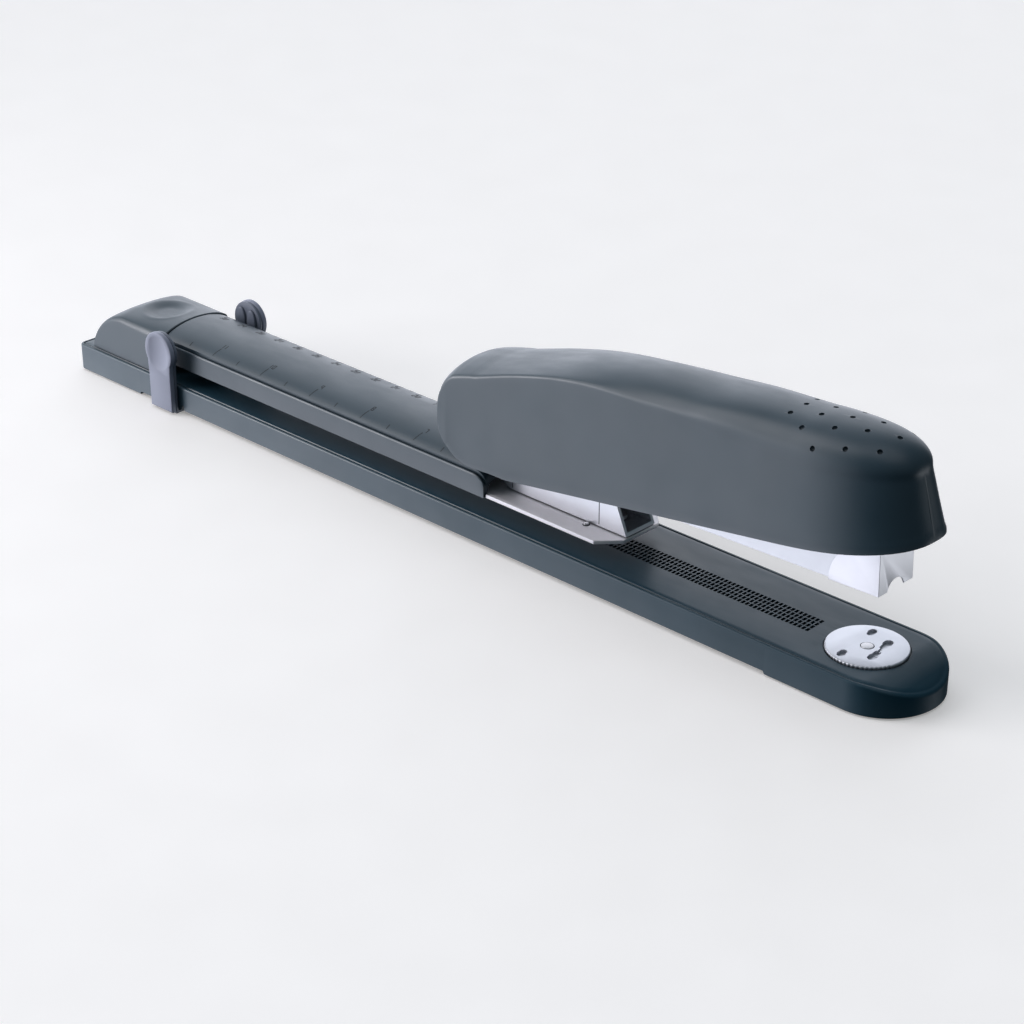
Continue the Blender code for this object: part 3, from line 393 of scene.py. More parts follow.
def add(name, solid, slot, body, replaced=(), sharp=32.0, look=None):
    """A finished piece from a bmesh in millimetres, riding on a CAD body."""
    bmesh.ops.scale(solid, verts=solid.verts, vec=(MM, MM, MM))
    mesh = mesh_of(name, solid)
    mesh.shade_smooth()
    mesh.set_sharp_from_angle(angle=math.radians(sharp))
    piece = in_scene(name, mesh)
    mesh.materials.append(LOOKS[look or slot])
    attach(piece, body)
    if replaced:
        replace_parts(piece, *replaced)
    return piece


# what the record says of slots, nodes and bodies
NODE_SLOT = {s["node"]: s["material_slot"] for s in frame["record"]["subparts"]}
NODE_BODY = {n: b for b, names in frame["record"]["behaviour"]["bodies"].items() for n in names}
# nodes whose look is not the one named after their slot: lighter, more diffuse copies of the steel looks,
# painted light
OWN_LOOK = {"arm_plate": "plate_steel_lit", "magazine_front_cap": "cap_steel_lit"}
SAME_POINT = 0.002                 # CAD points nearer than this are one point, in millimetres
SAME_PLANE = math.radians(0.6)     # CAD facets that turn less than this are one face


def refined(node, bevel, angle=28.0):
    """A CAD node's own shape with clean faces and softened edges."""
    solid = bmesh.new()
    solid.from_mesh(frame["nodes"][node].data)
    bmesh.ops.scale(solid, verts=solid.verts, vec=(1 / MM, 1 / MM, 1 / MM))
    bmesh.ops.remove_doubles(solid, verts=solid.verts, dist=SAME_POINT)
    bmesh.ops.dissolve_limit(solid, angle_limit=SAME_PLANE, verts=solid.verts, edges=solid.edges)
    bmesh.ops.recalc_face_normals(solid, faces=solid.faces)
    folded = [e for e in solid.edges if len(e.link_faces) == 2]
    soften(solid, [e for e in folded if e.calc_face_angle(0) > math.radians(angle)], bevel)
    look = OWN_LOOK.get(node)
    return add(node + "_look", solid, NODE_SLOT[node], NODE_BODY[node], (node,), 24.0, look)


# ---------------------------------------- base

BASE_NOSE_DROP = 4.4           # how far the top falls at the very front
BASE_FALL_START = 5.0          # the fall starts this far in front of the nose's centre
BASE_SKIN = 2.2                # wall thickness, seen from below
CAVITY_HEIGHT = 8.2
BASE_CORNER = 2.5
UNDERCUT, FOOT_LIFT, GUIDE_NOTCH = 1.3, 0.4, 3.0       # heights of the lower edge
NOTCH_REACH = (6.9, 7.3, 8.3, 8.7)                     # notches either side of the guide
# inset, depth below the top and fading at the nose, from the bead to the start of the flat top
BEAD_GROOVE = [(0.95, 0.06, 0.0), (1.15, 0.38, 0.75), (1.5, 0.42, 0.75), (1.7, 0.08, 0.0), (1.95, 0.0, 0.0)]
TOP_INSETS = (3.2, 5.0, 7.5, 10.0, 12.5, 15.0, 17.0)
RIM_ROUND = 0.62
RIB_START, RIB_PITCH, RIB_COLUMNS = -104.0, 1.5, 54
RIB_SIDE, RIB_ROW_PITCH, RIB_ROWS = -4.25, 2.16, 4
PIT_X, PIT_Y, PIT_DEPTH = (0.22, 1.27), (0.08, 1.9), 0.7      # the pit in each cell of the rib grid
ANVIL_GAP, STEM_HOLE = 0.4, 2.5                               # round the disc, and the hole below it


def base_fall(x, nose_x, centre_x):
    """How far the base's top falls towards its front end."""
    start = centre_x + BASE_FALL_START
    share = min(max((x - start) / (nose_x + 1 - start), 0.0), 1.0)
    return BASE_NOSE_DROP * share ** 1.6


def make_base():
    low, high = box("base_shell")
    half, top, rear, nose = high.y, high.z, low.x, high.x
    centre = nose - half
    guide = sum(v.x for v in box("guide_carriage")) / 2
    front_foot, rear_foot = box("front_foot_pad")[0].x - 1, box("rear_foot_pad")[1].x + 1
    notch = [guide + side * reach for side in (-1, 1) for reach in NOTCH_REACH]
    feet = [front_foot, front_foot - 0.6, rear_foot, rear_foot + 0.6]
    breaks = sorted(feet + [centre - 8, centre - 16] + notch)

    def plan(inset):
        corner = max(BASE_CORNER - inset, 0.4)
        width = max(half - inset, 0.25)
        inner = min(inset, half - 0.25)
        nose_arc = arc(centre, 0, width, -90, 90, 48)
        left = [(x, width) for x in breaks[::-1]]
        side = max(width - corner, 0.02)
        rear_arc = arc(rear + inner + corner, side, corner, 90, 180, 6)
        rear_arc += arc(rear + inner + corner, -side, corner, 180, 270, 6)
        right = [(x, -width) for x in breaks]
        return nose_arc + left + rear_arc + right

    def under(x):
        if x > front_foot - 0.3 or x < rear_foot + 0.3:
            return FOOT_LIFT
        return GUIDE_NOTCH if 7.1 < abs(x - guide) < 8.5 else UNDERCUT

    def ring(inset, depth, fade=0.0):
        """A ring on the top side, depth below the top surface; fade removes the depth at the nose."""
        points = []
        for x, y in plan(inset):
            keep = 1 - fade * smooth(x, centre - 4, nose - 5)
            points.append((x, y, top - depth * keep - base_fall(x, nose, centre)))
        return points

    def ceiling(inset):
        return [(x, y, CAVITY_HEIGHT - base_fall(x, nose, centre)) for x, y in plan(inset)]

    rings = [ceiling(half), ceiling(8.0), ceiling(BASE_SKIN)]
    rings.append([(x, y, under(x)) for x, y in plan(BASE_SKIN)])
    rings.append([(x, y, under(x)) for x, y in plan(0.35)])
    rings.append([(x, y, under(x) + 0.3) for x, y in plan(0.0)])
    rings.append(ring(0.0, 0.75))
    for a in np.radians([0, 25, 50, 75, 90]):
        rings.append(ring(RIM_ROUND * (1 - math.cos(a)), RIM_ROUND * (1 - math.sin(a)) + 0.05))
    rings += [ring(*each) for each in BEAD_GROOVE]
    rings += [ring(i, 0.0) for i in TOP_INSETS] + [ring(half, 0.0)]
    shell = loft(rings)
    anvil = sum((Vector(v) for v in box("anvil_disc")), Vector()) / 2
    radius = (box("anvil_disc")[1].x - box("anvil_disc")[0].x) / 2
    bottom = box("anvil_disc")[0].z - 0.3
    shell = carve(shell, prism(circle(anvil.x, 0, radius + ANVIL_GAP, 96), bottom, 20))
    shell = carve(shell, prism(circle(anvil.x, 0, STEM_HOLE, 32), 0, 20))
    comb = bmesh.new()
    for column in range(RIB_COLUMNS):
        x = RIB_START + RIB_PITCH * column
        for row in range(RIB_ROWS):
            y = RIB_SIDE + RIB_ROW_PITCH * row
            start = (x + PIT_X[0], y + PIT_Y[0], top - PIT_DEPTH)
            end = (x + PIT_X[1], y + PIT_Y[1], top + 1)
            join(comb, block(start, end))
    shell = carve(shell, comb)
    add("base_shell_look", shell, "black_plastic", "frame", ("base_shell",), 40.0, "base_plastic")


# ---------------------------------------- anvil

ANVIL_TURN = 8.5      # how far the clinching pockets are turned at rest
# x, y, half length, half width and depth of each pocket before that turn
POCKETS = [
    (4.2, -3.7, 3.0, 1.05, 0.9), (4.2, -4.7, 1.9, 1.4, 1.0),
    (-4.0, -7.8, 2.1, 1.05, 0.9), (-4.0, -8.1, 1.4, 1.3, 1.0),
    (4.2, 3.7, 3.0, 1.05, 0.9), (4.2, 4.7, 1.9, 1.4, 1.0),
    (-2.6, 7.8, 2.1, 1.05, 0.9), (-2.6, 8.1, 1.4, 1.3, 1.0),
    (4.2, 0.0, 1.8, 0.45, 0.6),
]
KNURL_DEPTH, KNURL_FROM, KNURL_TO = 0.22, 200, 340     # the knurled part of the disc's edge, in degrees


def stadium(cx, cy, half_length, half_width, steps=10):
    run = half_length - half_width
    return arc(cx, cy + run, half_width, 0, 180, steps) + arc(cx, cy - run, half_width, 180, 360, steps)


def make_anvil():
    low, high = box("anvil_disc")
    cx, radius, top = (low.x + high.x) / 2, (high.x - low.x) / 2, high.z
    outline = []
    for k in range(240):
        angle = 2 * math.pi * k / 240
        knurl = KNURL_DEPTH if KNURL_FROM < math.degrees(angle) < KNURL_TO and k % 4 < 2 else 0.0
        outline.append((cx + (radius - knurl) * math.cos(angle), (radius - knurl) * math.sin(angle)))
    disc = prism(outline, low.z, top, "z", 0.3, 3)
    turn = Matrix.Translation((cx, 0, 0)) @ Matrix.Rotation(math.radians(ANVIL_TURN), 4, "Z")
    for x, y, length, width, depth in POCKETS:
        tool = prism(stadium(x, y, length, width, 12), top - depth, top + 2)
        disc = carve(disc, moved(tool, turn))
    disc = carve(disc, prism(circle(cx, 0, 2.1, 48), top - 0.7, top + 2))
    disc = carve(disc, prism(circle(cx, 0, 1.8, 32), 0, 20))
    add("anvil_disc_look", disc, "zinc_steel", "anvil", ("anvil_disc",))
    stem = prism(circle(cx, 0, 1.5, 32), box("anvil_rivet")[0].z, top - 0.3)
    head = prism(circle(cx, 0, 1.9, 48), top - 0.55, top + 0.1, "z", 0.18, 3)
    add("anvil_rivet_look", carve(stem, head, "UNION"), "bright_steel", "anvil", ("anvil_rivet",))


# ---------------------------------------- rear housing, arm cover, ruler

COVER_SEAM = box("arm_cover")[0].x
COVER_END = box("arm_cover")[1].x
COVER_LOW = box("arm_cover")[0].z
COVER_HALF = box("arm_cover")[1].y
COVER_CREST = box("arm_cover")[1].z
COVER_EDGE = 23.0
# the bead and the groove inside it: distance in from the wall, height from the edge
COVER_BEAD = [(0.0, -0.55), (0.06, -0.2), (0.25, 0.06), (0.52, 0.14), (0.74, 0.02), (0.8, -0.3), (1.15, -0.3)]
COVER_SHEET = 1.5
COVER_END_RADIUS = 5.0


def cover_height(y):
    """Height of the arm cover's arched top."""
    share = min(abs(y) / (COVER_HALF - 0.5), 1.0)
    return COVER_EDGE + 0.1 + (COVER_CREST - COVER_EDGE - 0.1) * (1 - share * share) ** 0.62


def cover_profile():
    half, edge = COVER_HALF, COVER_EDGE
    near = [(-half, COVER_LOW)] + [(y - half, edge + z) for y, z in COVER_BEAD]
    start = -half + 1.2
    arch = [(start * math.cos(a), cover_height(start * math.cos(a))) for a in np.linspace(0, math.pi, 61)]
    far = [(-y, z) for y, z in near[::-1]]
    reach = half - COVER_SHEET
    inner = [(y * (1 - COVER_SHEET / half), max(z - COVER_SHEET, COVER_LOW)) for y, z in arch[::-2]]
    inner = [(reach, COVER_LOW)] + [p for p in inner if abs(p[0]) < reach] + [(-reach, COVER_LOW)]
    return near + arch + far + inner


def make_arm_cover():
    profile = cover_profile()
    end, radius = COVER_END, COVER_END_RADIUS
    stations = [COVER_SEAM, COVER_SEAM + 0.25] + list(np.linspace(COVER_SEAM + 20, end - 9, 12))
    stations += [end - radius + radius * math.sin(a) for a in np.radians([0, 15, 30, 45, 60, 72, 82, 90])]
    rings = []
    for x in stations:
        limit = 1.0
        if x > end - radius:
            drop = radius - math.sqrt(max(radius ** 2 - (x - end + radius) ** 2, 0.0))
            limit = 1 - drop / (COVER_CREST - COVER_LOW)
        tuck = 0.25 if x == COVER_SEAM else 0.0
        ring = []
        for y, z in profile:
            height = COVER_LOW + (z - tuck - COVER_LOW) * limit if z > COVER_LOW else z
            ring.append((x, y * (1 - tuck / COVER_HALF), height))
        rings.append(ring)
    add("arm_cover_look", loft(rings), "black_plastic", "frame", ("arm_cover",), 30.0)


def on_cover(solid, lift=0.03):
    """Wraps a flat bmesh in x and y over the cover's arch; its z becomes height above the arch."""
    for v in solid.verts:
        v.co.z += cover_height(v.co.y) + lift
    return solid


MARK_DEPTH = 0.12


def stroke(solid, x0, y0, x1, y1, width):
    """One flat mark, split along its length so that it can follow the arch."""
    steps = max(int(abs(y1 - y0) / 0.8), 1)
    start, end = Vector((x0, y0)), Vector((x1, y1))
    side = (end - start).normalized().orthogonal() * width / 2
    rows = []
    for k in range(steps + 1):
        left, right = start.lerp(end, k / steps) - side, start.lerp(end, k / steps) + side
        ring = [(*left, -MARK_DEPTH), (*left, 0), (*right, 0), (*right, -MARK_DEPTH)]
        rows.append([solid.verts.new(point) for point in ring])
    for a, b in zip(rows, rows[1:]):
        for i in range(4):
            solid.faces.new((a[i], a[(i + 1) % 4], b[(i + 1) % 4], b[i]))
    solid.faces.new(rows[0])
    solid.faces.new(rows[-1])


DIGITS = {   # strokes on a 2 by 4 grid
    "0": "0004 0424 2420 2000",
    "1": "1014",
    "2": "0424 2422 2202 0200 0020",
    "3": "0424 2420 2000 0222",
    "4": "0402 0222 2420",
    "5": "2404 0402 0222 2220 2000",
    "6": "2404 0400 0020 2022 2202",
    "7": "0424 2420",
    "8": "0004 0424 2420 2000 0222",
    "9": "2202 0204 0424 2420",
}


def number(solid, text, x, y, size, width):
    """Stroke digits centred at x, read from the near side."""
    step = size * 0.75
    left = x - step * (len(text) - 1) / 2 - size / 4
    for i, digit in enumerate(text):
        for pair in DIGITS[digit].split():
            ax, ay, bx, by = (int(c) * size / 4 for c in pair)
            stroke(solid, left + i * step + ax, y + ay, left + i * step + bx, y + by, width)


HALF_CENTIMETRE, HALF_INCH = 5.0, 12.7
RULER_INSET = 1.9
CENTIMETRE_MARKS, INCH_MARKS = range(32, 61), range(12, 25)     # in halves, from the staple line
# how far in the whole and the half marks reach, and their width
CENTIMETRE_REACH, CENTIMETRE_WIDTH = (9.4, 11.4), 0.8
INCH_REACH, INCH_WIDTH, INCH_SLANT = (-10.0, -11.9), 0.4, 0.8
# each scale's figures: y of the foot, height and stroke width, then their shift along x
CENTIMETRE_FIGURE, INCH_FIGURE, FIGURE_SHIFT = (7.0, 2.1, 0.5), (-9.6, 1.8, 0.36), 1.4


def make_ruler():
    """Centimetre marks at the far edge and inch marks at the near one, counted from the staple line."""
    marks = bmesh.new()
    edge = COVER_HALF - RULER_INSET
    for mark in CENTIMETRE_MARKS:
        x = -HALF_CENTIMETRE * mark
        if x < COVER_SEAM + 1:
            continue
        half = mark % 2
        stroke(marks, x, edge, x, CENTIMETRE_REACH[half], CENTIMETRE_WIDTH)
        if not half:
            number(marks, str(mark // 2), x + FIGURE_SHIFT, *CENTIMETRE_FIGURE)
    for mark in INCH_MARKS:
        x = -HALF_INCH * mark
        if x < COVER_SEAM + 0.5:
            continue
        half = mark % 2
        stroke(marks, x, -edge, x + INCH_SLANT * (not half), INCH_REACH[half], INCH_WIDTH)
        if not half:
            number(marks, str(mark // 2), x + FIGURE_SHIFT, *INCH_FIGURE)
    bmesh.ops.recalc_face_normals(marks, faces=marks.faces)
    add("ruler_marks", on_cover(marks), "mark", "frame")


def bent_ring(wall, arch, corner, counts=(9, 57)):
    """A section: near wall, rounded corner, arch and the mirrored far side, with a fixed point count."""
    vertex, before = Vector(wall[-1]), Vector(wall[-2])
    back = vertex + (before - vertex).normalized() * min(corner, (before - vertex).length * 0.9)
    points = [Vector(p) for p in arch]
    travel, ahead = 0.0, points[len(points) // 2 - 1]
    for a, b in zip(points, points[1:len(points) // 2]):
        step = (b - a).length
        if travel + step >= corner:
            ahead = a.lerp(b, (corner - travel) / max(step, 1e-9))
            break
        travel += step
    bend = []
    for t in np.linspace(0, 1, 7):
        bend.append(tuple(back * (1 - t) ** 2 + vertex * 2 * t * (1 - t) + ahead * t * t))
    near = resample(wall[:-1] + [tuple(back)], counts[0]) + bend[1:]
    rest = [p for p in arch if abs(p[1]) < abs(ahead.y) - 1e-6]
    rest = resample([tuple(ahead)] + rest + [(ahead.x, -ahead.y, ahead.z)], counts[1])
    far = [(x, -y, z) for x, y, z in near[::-1]]
    return near + rest[1:-1] + far


HOUSING_EDGE = (24.6, 23.5)       # height of the top edge at the rear and at the seam
HOUSING_CROWN = (2.1, 4.7)        # height of the arch over that edge, likewise
HOUSING_REAR_RADIUS = 15.0
HOUSING_LEAN = (17.5 - 15.6) / (23.5 - 10.4)      # how much the side walls lean in per unit of height
DISH_X, DISH_REACH, DISH_DEPTH = -320.5, (10.0, 9.2), 1.35
DISH_LIP, DISH_ABOVE = 0.12, 22.0
HOUSING_SHRINK, HOUSING_WALL = 0.9, 1.6       # the hollow: its share of the outside, and the rear wall


def make_rear_housing():
    low, high = box("rear_housing")
    rear, front, floor, half = low.x, high.x, low.z, high.y
    edge_rear, edge_front = HOUSING_EDGE
    crown_rear, crown_front = HOUSING_CROWN
    radius = HOUSING_REAR_RADIUS

    def section(x, edge, rise, inset):
        foot = half - inset
        top_half = foot - HOUSING_LEAN * (edge - floor)
        start = floor + 0.15
        wall = [(x, -foot + 0.15, floor), (x, -foot, start)]
        wall += [(x, -foot + (foot - top_half) * t, start + (edge - start) * t) for t in (0.35, 0.7, 1.0)]
        arch = []
        for a in np.linspace(0, math.pi, 73):
            y = -top_half * math.cos(a)
            arch.append((x, y, edge + rise * math.sin(a) ** 1.15))
        return wall, arch

    rings = []
    turns = np.radians(np.linspace(4, 90, 22))
    stations = [(rear + radius * (1 - math.cos(a)), math.sin(a)) for a in turns]
    stations += [(x, 1.0) for x in np.linspace(rear + radius + 1, front - 0.3, 26)] + [(front, 1.0)]
    for x, share in stations:
        along = max((x - rear - radius) / (front - rear - radius), 0.0)
        edge = edge_rear + (edge_front - edge_rear) * along
        edge = floor + 0.3 + (edge - floor - 0.3) * share
        tuck = 0.25 if x == front else 0.0
        crown = (crown_rear + (crown_front - crown_rear) * along) * max(share ** 2, 0.05)
        wall, arch = section(x, edge - tuck, crown, tuck)
        rings.append(bent_ring(wall, arch, 0.3 + 1.0 * share))
    solid = loft(rings, closed=False, caps=False)
    for v in solid.verts:
        away = Vector(((v.co.x - DISH_X) / DISH_REACH[0], v.co.y / DISH_REACH[1])).length
        if v.co.z > DISH_ABOVE and away < 1.15:
            lip = DISH_LIP * math.exp(-((away - 1.0) / 0.1) ** 2)
            v.co.z -= DISH_DEPTH * (1 - smooth(away, 0.35, 1.0)) - lip
    thick = solid.copy()
    for v in thick.verts:
        v.co.y *= HOUSING_SHRINK
        v.co.z = floor + (v.co.z - floor) * HOUSING_SHRINK if v.co.z > floor + 0.01 else v.co.z
        v.co.x = max(v.co.x, rear + HOUSING_WALL)
    bmesh.ops.reverse_faces(thick, faces=thick.faces)
    join(solid, thick)
    open_edges = [e for e in solid.edges if e.is_boundary]
    bmesh.ops.bridge_loops(solid, edges=open_edges)
    bmesh.ops.recalc_face_normals(solid, faces=solid.faces)
    add("rear_housing_look", solid, "black_plastic", "frame", ("rear_housing",), 35.0)


# ---------------------------------------- handle cover

RIM_ZERO, RIM_RISE, RIM_LIFT, RIM_LIFT_START = 46.9, 0.15, 2.7, -27.6
RIM_HALF, EDGE_HALF = 17.9, 14.4
RIM_NOSE, EDGE_NOSE = (-20.0, 35.1), (-24.0, 33.3)     # start and length of the round front end
NOSE_POWER = 0.79
FLAT_CROWN, PAD_CROWN = 0.9, 0.38
# x and z down the rear of the handle: its lower rim, then its top edge, station by station
REAR_LOW = [(-162.9, 40.5), (-162.6, 36.6), (-161.3, 33.4), (-158.6, 30.0),
            (-154.8, 27.6), (-150.6, 26.5), (-146.0, 26.5), (-140.0, 26.9)]
REAR_HIGH = [(-162.9, 40.5), (-162.8, 44.2), (-161.9, 48.0), (-160.0, 51.4),
             (-157.8, 53.6), (-156.0, 54.5), (-154.2, 55.1), (-150.0, 56.3)]
# how far the middle stands rearwards and higher than the edge at those stations
REAR_BULGE = [3.0, 3.3, 3.4, 3.3, 2.4, 0.9, 0.2, 0.0]
REAR_CROWN = [0.2, 0.4, 0.8, 1.8, 2.9, 3.3, 3.4, 3.1]
# x and height of the crown above the top edge, then x and z of the top edge itself
CREST_LINE = [(-150.0, 3.1), (-140.0, 2.4), (-125.0, 1.9), (-105.0, 3.4),
              (-84.0, 5.8), (-64.0, 8.0), (-44.0, 10.2), (-24.0, 11.9)]
EDGE_LINE = [(-154.0, 54.6), (-145.0, 57.7), (-131.0, 62.1), (-116.0, 65.8), (-102.0, 67.9),
             (-88.0, 68.7), (-75.0, 68.6), (-62.0, 68.0), (-48.0, 67.9), (-34.0, 67.5),
             (-24.0, 67.4), (-10.0, 68.3), (8.0, 70.3)]
REAR_PARTS, BODY_STEPS, NOSE_STEPS = 4, 60, 40
# heights up the wall where points lie, as shares
WALL_SHARES = (0.0, 0.012, 0.045, 0.07, 0.11, 0.2, 0.32, 0.44, 0.56, 0.68, 0.8, 0.9, 0.96, 1.0)
SHRINK_MIDDLE, SHRINK_REACH, LIP_REACH = -75.0, 88.0, 36.0
EDGE_ROUND = 0.95
HANDLE_SKIN, HANDLE_OPEN = 1.9, 8.0      # wall thickness, and how far the hollow reaches out below
REAR_MOUTH = ((-170.0, -15.9, 10.0), (-150.0, 15.9, 50.0))     # opens the rear end over the arm


def curve(points, x):
    """Smooth curve through points sorted by x."""
    if x <= points[0][0]:
        return points[0][1]
    if x >= points[-1][0]:
        return points[-1][1]

    def slope(i):
        before, after = points[max(i - 1, 0)], points[min(i + 1, len(points) - 1)]
        return (after[1] - before[1]) / (after[0] - before[0])

    i = next(k for k in range(len(points) - 1) if x <= points[k + 1][0])
    (x0, y0), (x1, y1) = points[i], points[i + 1]
    span, t = x1 - x0, (x - x0) / (x1 - x0)
    rise = y0 * (2 * t ** 3 - 3 * t ** 2 + 1) + y1 * (3 * t ** 2 - 2 * t ** 3)
    return rise + slope(i) * span * (t ** 3 - 2 * t ** 2 + t) + slope(i + 1) * span * (t ** 3 - t ** 2)


def wall_half(z):
    """Half width of the handle's wall at height z."""
    return RIM_HALF - (RIM_HALF - EDGE_HALF) * min(max(z - 30.0, 0.0) / 36.0, 1.0)


def rear_station(u):
    """The handle's section at u along the rear tables."""
    tables = list(zip(*REAR_LOW)) + list(zip(*REAR_HIGH)) + [REAR_BULGE, REAR_CROWN]
    lx, lz, hx, hz, bulge, crown = (curve(list(enumerate(values)), u) for values in tables)
    rim, edge = (lx, wall_half(lz), lz), (hx, wall_half(hz), hz)
    return rim, edge, bulge, crown, FLAT_CROWN, 0.25 + 0.75 * smooth(u, 1.5, 5)


def body_station(share):
    """The handle's section at a share of the way from the rear tables to the round nose."""
    x = REAR_LOW[-1][0] + (RIM_NOSE[0] - REAR_LOW[-1][0]) * share
    edge_x = REAR_HIGH[-1][0] + (EDGE_NOSE[0] - REAR_HIGH[-1][0]) * share
    edge_z = curve(EDGE_LINE, edge_x)
    full = FLAT_CROWN + (PAD_CROWN - FLAT_CROWN) * smooth(edge_x, -95.0, -55.0)
    rim, edge = (x, RIM_HALF, rim_height(x)), (edge_x, wall_half(edge_z), edge_z)
    return rim, edge, 0.0, curve(CREST_LINE, edge_x), full, 1.0


def nose_station(turn):
    """The handle's section at an angle round the nose."""
    along, across = math.sin(turn) ** NOSE_POWER, math.cos(turn) ** NOSE_POWER
    x, edge_x = RIM_NOSE[0] + RIM_NOSE[1] * along, EDGE_NOSE[0] + EDGE_NOSE[1] * along
    crown = CREST_LINE[-1][1] * math.cos(turn) ** 0.9 + 0.1
    rim, edge = (x, RIM_HALF * across, rim_height(x)), (edge_x, EDGE_HALF * across, curve(EDGE_LINE, edge_x))
    return rim, edge, 0.0, crown, PAD_CROWN, 1.0 + 0.4 * smooth(edge_x, -20.0, 4.0)


def handle_stations():
    """Sections from rear to nose: rim point, edge point, bulge, crown, crown's fullness, edge rounding."""
    rear = [rear_station(k / REAR_PARTS) for k in range((len(REAR_LOW) - 1) * REAR_PARTS + 1)]
    body = [body_station(k / BODY_STEPS) for k in range(1, BODY_STEPS + 1)]
    nose = [nose_station(math.radians(min(90 * k / NOSE_STEPS, 89.3))) for k in range(1, NOSE_STEPS + 1)]
    return rear + body + nose


def rim_height(x):
    """Height of the handle's lower rim at x."""
    line = RIM_ZERO + RIM_RISE * x
    if x < RIM_LIFT_START:
        return max(line, REAR_LOW[-1][1])
    share = (x - RIM_LIFT_START) / (RIM_NOSE[0] + RIM_NOSE[1] - RIM_LIFT_START)
    return line + RIM_LIFT * share ** 2


def handle_ring(station, inset, drop):
    """One section as a ring of points; inset and drop shrink it for the hollow inside."""
    rim, edge, bulge, crown, full, soft = station
    scale, narrow = 1 - inset / SHRINK_REACH, 1 - inset / EDGE_HALF

    def shrink(p):
        return Vector((SHRINK_MIDDLE + (p[0] - SHRINK_MIDDLE) * scale, -p[1] * narrow, p[2]))

    low, high = shrink(rim), shrink(edge)
    low.z -= drop
    high.z -= inset
    lip_middle, lip_share = SHRINK_MIDDLE + 40, smooth(rim[0], -45.0, 5.0)
    wall = []
    for t in WALL_SHARES:
        p = low.lerp(high, t)
        lip = 0.0
        if not inset:
            lip = 0.22 * smooth(t, 0.05, 0.09) * (1 - smooth(t, 0.3, 1.0)) * lip_share
            lip += 0.25 if t == 0.0 else 0.0
        x = lip_middle + (p.x - lip_middle) * (1 - lip / LIP_REACH)
        wall.append((x, p.y * (1 - lip / RIM_HALF), p.z))
    arch = []
    for a in np.linspace(0, math.pi, 65):
        rise = math.sin(a) ** (2 * full)
        arch.append((high.x - bulge * math.sin(a), high.y * math.cos(a), high.z + crown * rise))
    size = min(EDGE_ROUND * soft, 0.9 * abs(high.y) + 0.05, 0.5 * max(high.z - low.z, 0.1) + 0.05)
    kept = [p for p in wall[:-1] if (Vector(p) - Vector(wall[-1])).length > size]
    return bent_ring(kept + [wall[-1]], arch, size, (14, 57))


def resample(points, count):
    """The same polyline with a fixed number of points, spaced evenly along it."""
    points = np.array(points, float)
    steps = np.linalg.norm(np.diff(points, axis=0), axis=1)
    length = np.concatenate([[0.0], np.cumsum(steps)])
    if length[-1] < 1e-9:
        return [tuple(points[0])] * count
    at = np.linspace(0, length[-1], count)
    return [tuple(np.interp(v, length, points[:, i]) for i in range(3)) for v in at]


# steps along and across the pad for each dimple; the far side mirrors the near one
DIMPLES = [(0, 2), (2, 2), (4, 2), (1, 1), (3, 1), (0, 0), (2, 0), (4, 0), (1, 3), (3, 3), (2, 4)]
DIMPLE_START, DIMPLE_PITCH, DIMPLE_RADIUS, DIMPLE_SUNK = -31.5, 7.98, 0.85, 0.15
# the rows bow rearwards to the sides, stand this far apart and fan out towards the nose
DIMPLE_BOW, DIMPLE_ROW, DIMPLE_FAN, DIMPLE_OUTER = 0.216, 3.06, 0.069, 0.94
PAD_FROM_RING, PAD_FROM_POINT = 40, 18       # the part of the skin the dimples can lie on


def make_handle():
    stations = handle_stations()
    outer = [handle_ring(s, 0.0, 0.0) for s in stations]
    inner = [handle_ring(s, HANDLE_SKIN, HANDLE_OPEN) for s in stations]
    cover = carve(loft(outer), loft(inner))
    cover = carve(cover, block(*REAR_MOUTH, 1.5))
    surface = [p for ring in outer[PAD_FROM_RING:] for p in ring[PAD_FROM_POINT:-PAD_FROM_POINT]]
    points = np.array(surface)
    tools = bmesh.new()
    for s, t in DIMPLES:
        for side in ((-1, 1) if t else (1,)):
            x = DIMPLE_START + DIMPLE_PITCH * s - DIMPLE_BOW * t * t
            y = side * DIMPLE_ROW * t * (1 + DIMPLE_FAN * s) * (DIMPLE_OUTER if t == 4 else 1.0)
            near = np.argmin((points[:, 0] - x) ** 2 + (points[:, 1] - y) ** 2)
            ball = bmesh.new()
            bmesh.ops.create_uvsphere(ball, u_segments=20, v_segments=12, radius=DIMPLE_RADIUS)
            moved(ball, Matrix.Translation((x, y, points[near, 2] - DIMPLE_SUNK)))
            join(tools, ball)
    cover = carve(cover, tools)
    add("handle_cover_look", cover, "black_plastic", "handle", ("handle_cover",), 42.0, "head_plastic")


# ---------------------------------------- guide, springs, metalwork

GUIDE_STEM = 6.0                          # half width of the guide's upright
GUIDE_INNER = 19.2                        # from the middle to the inner face of its walls
GUIDE_DISH_RADIUS, GUIDE_DISH_DEPTH = 18.0, 0.95
GRIP_X, GRIP_RADIUS, GRIP_STRETCH = 2.8, 2.3, 2.1


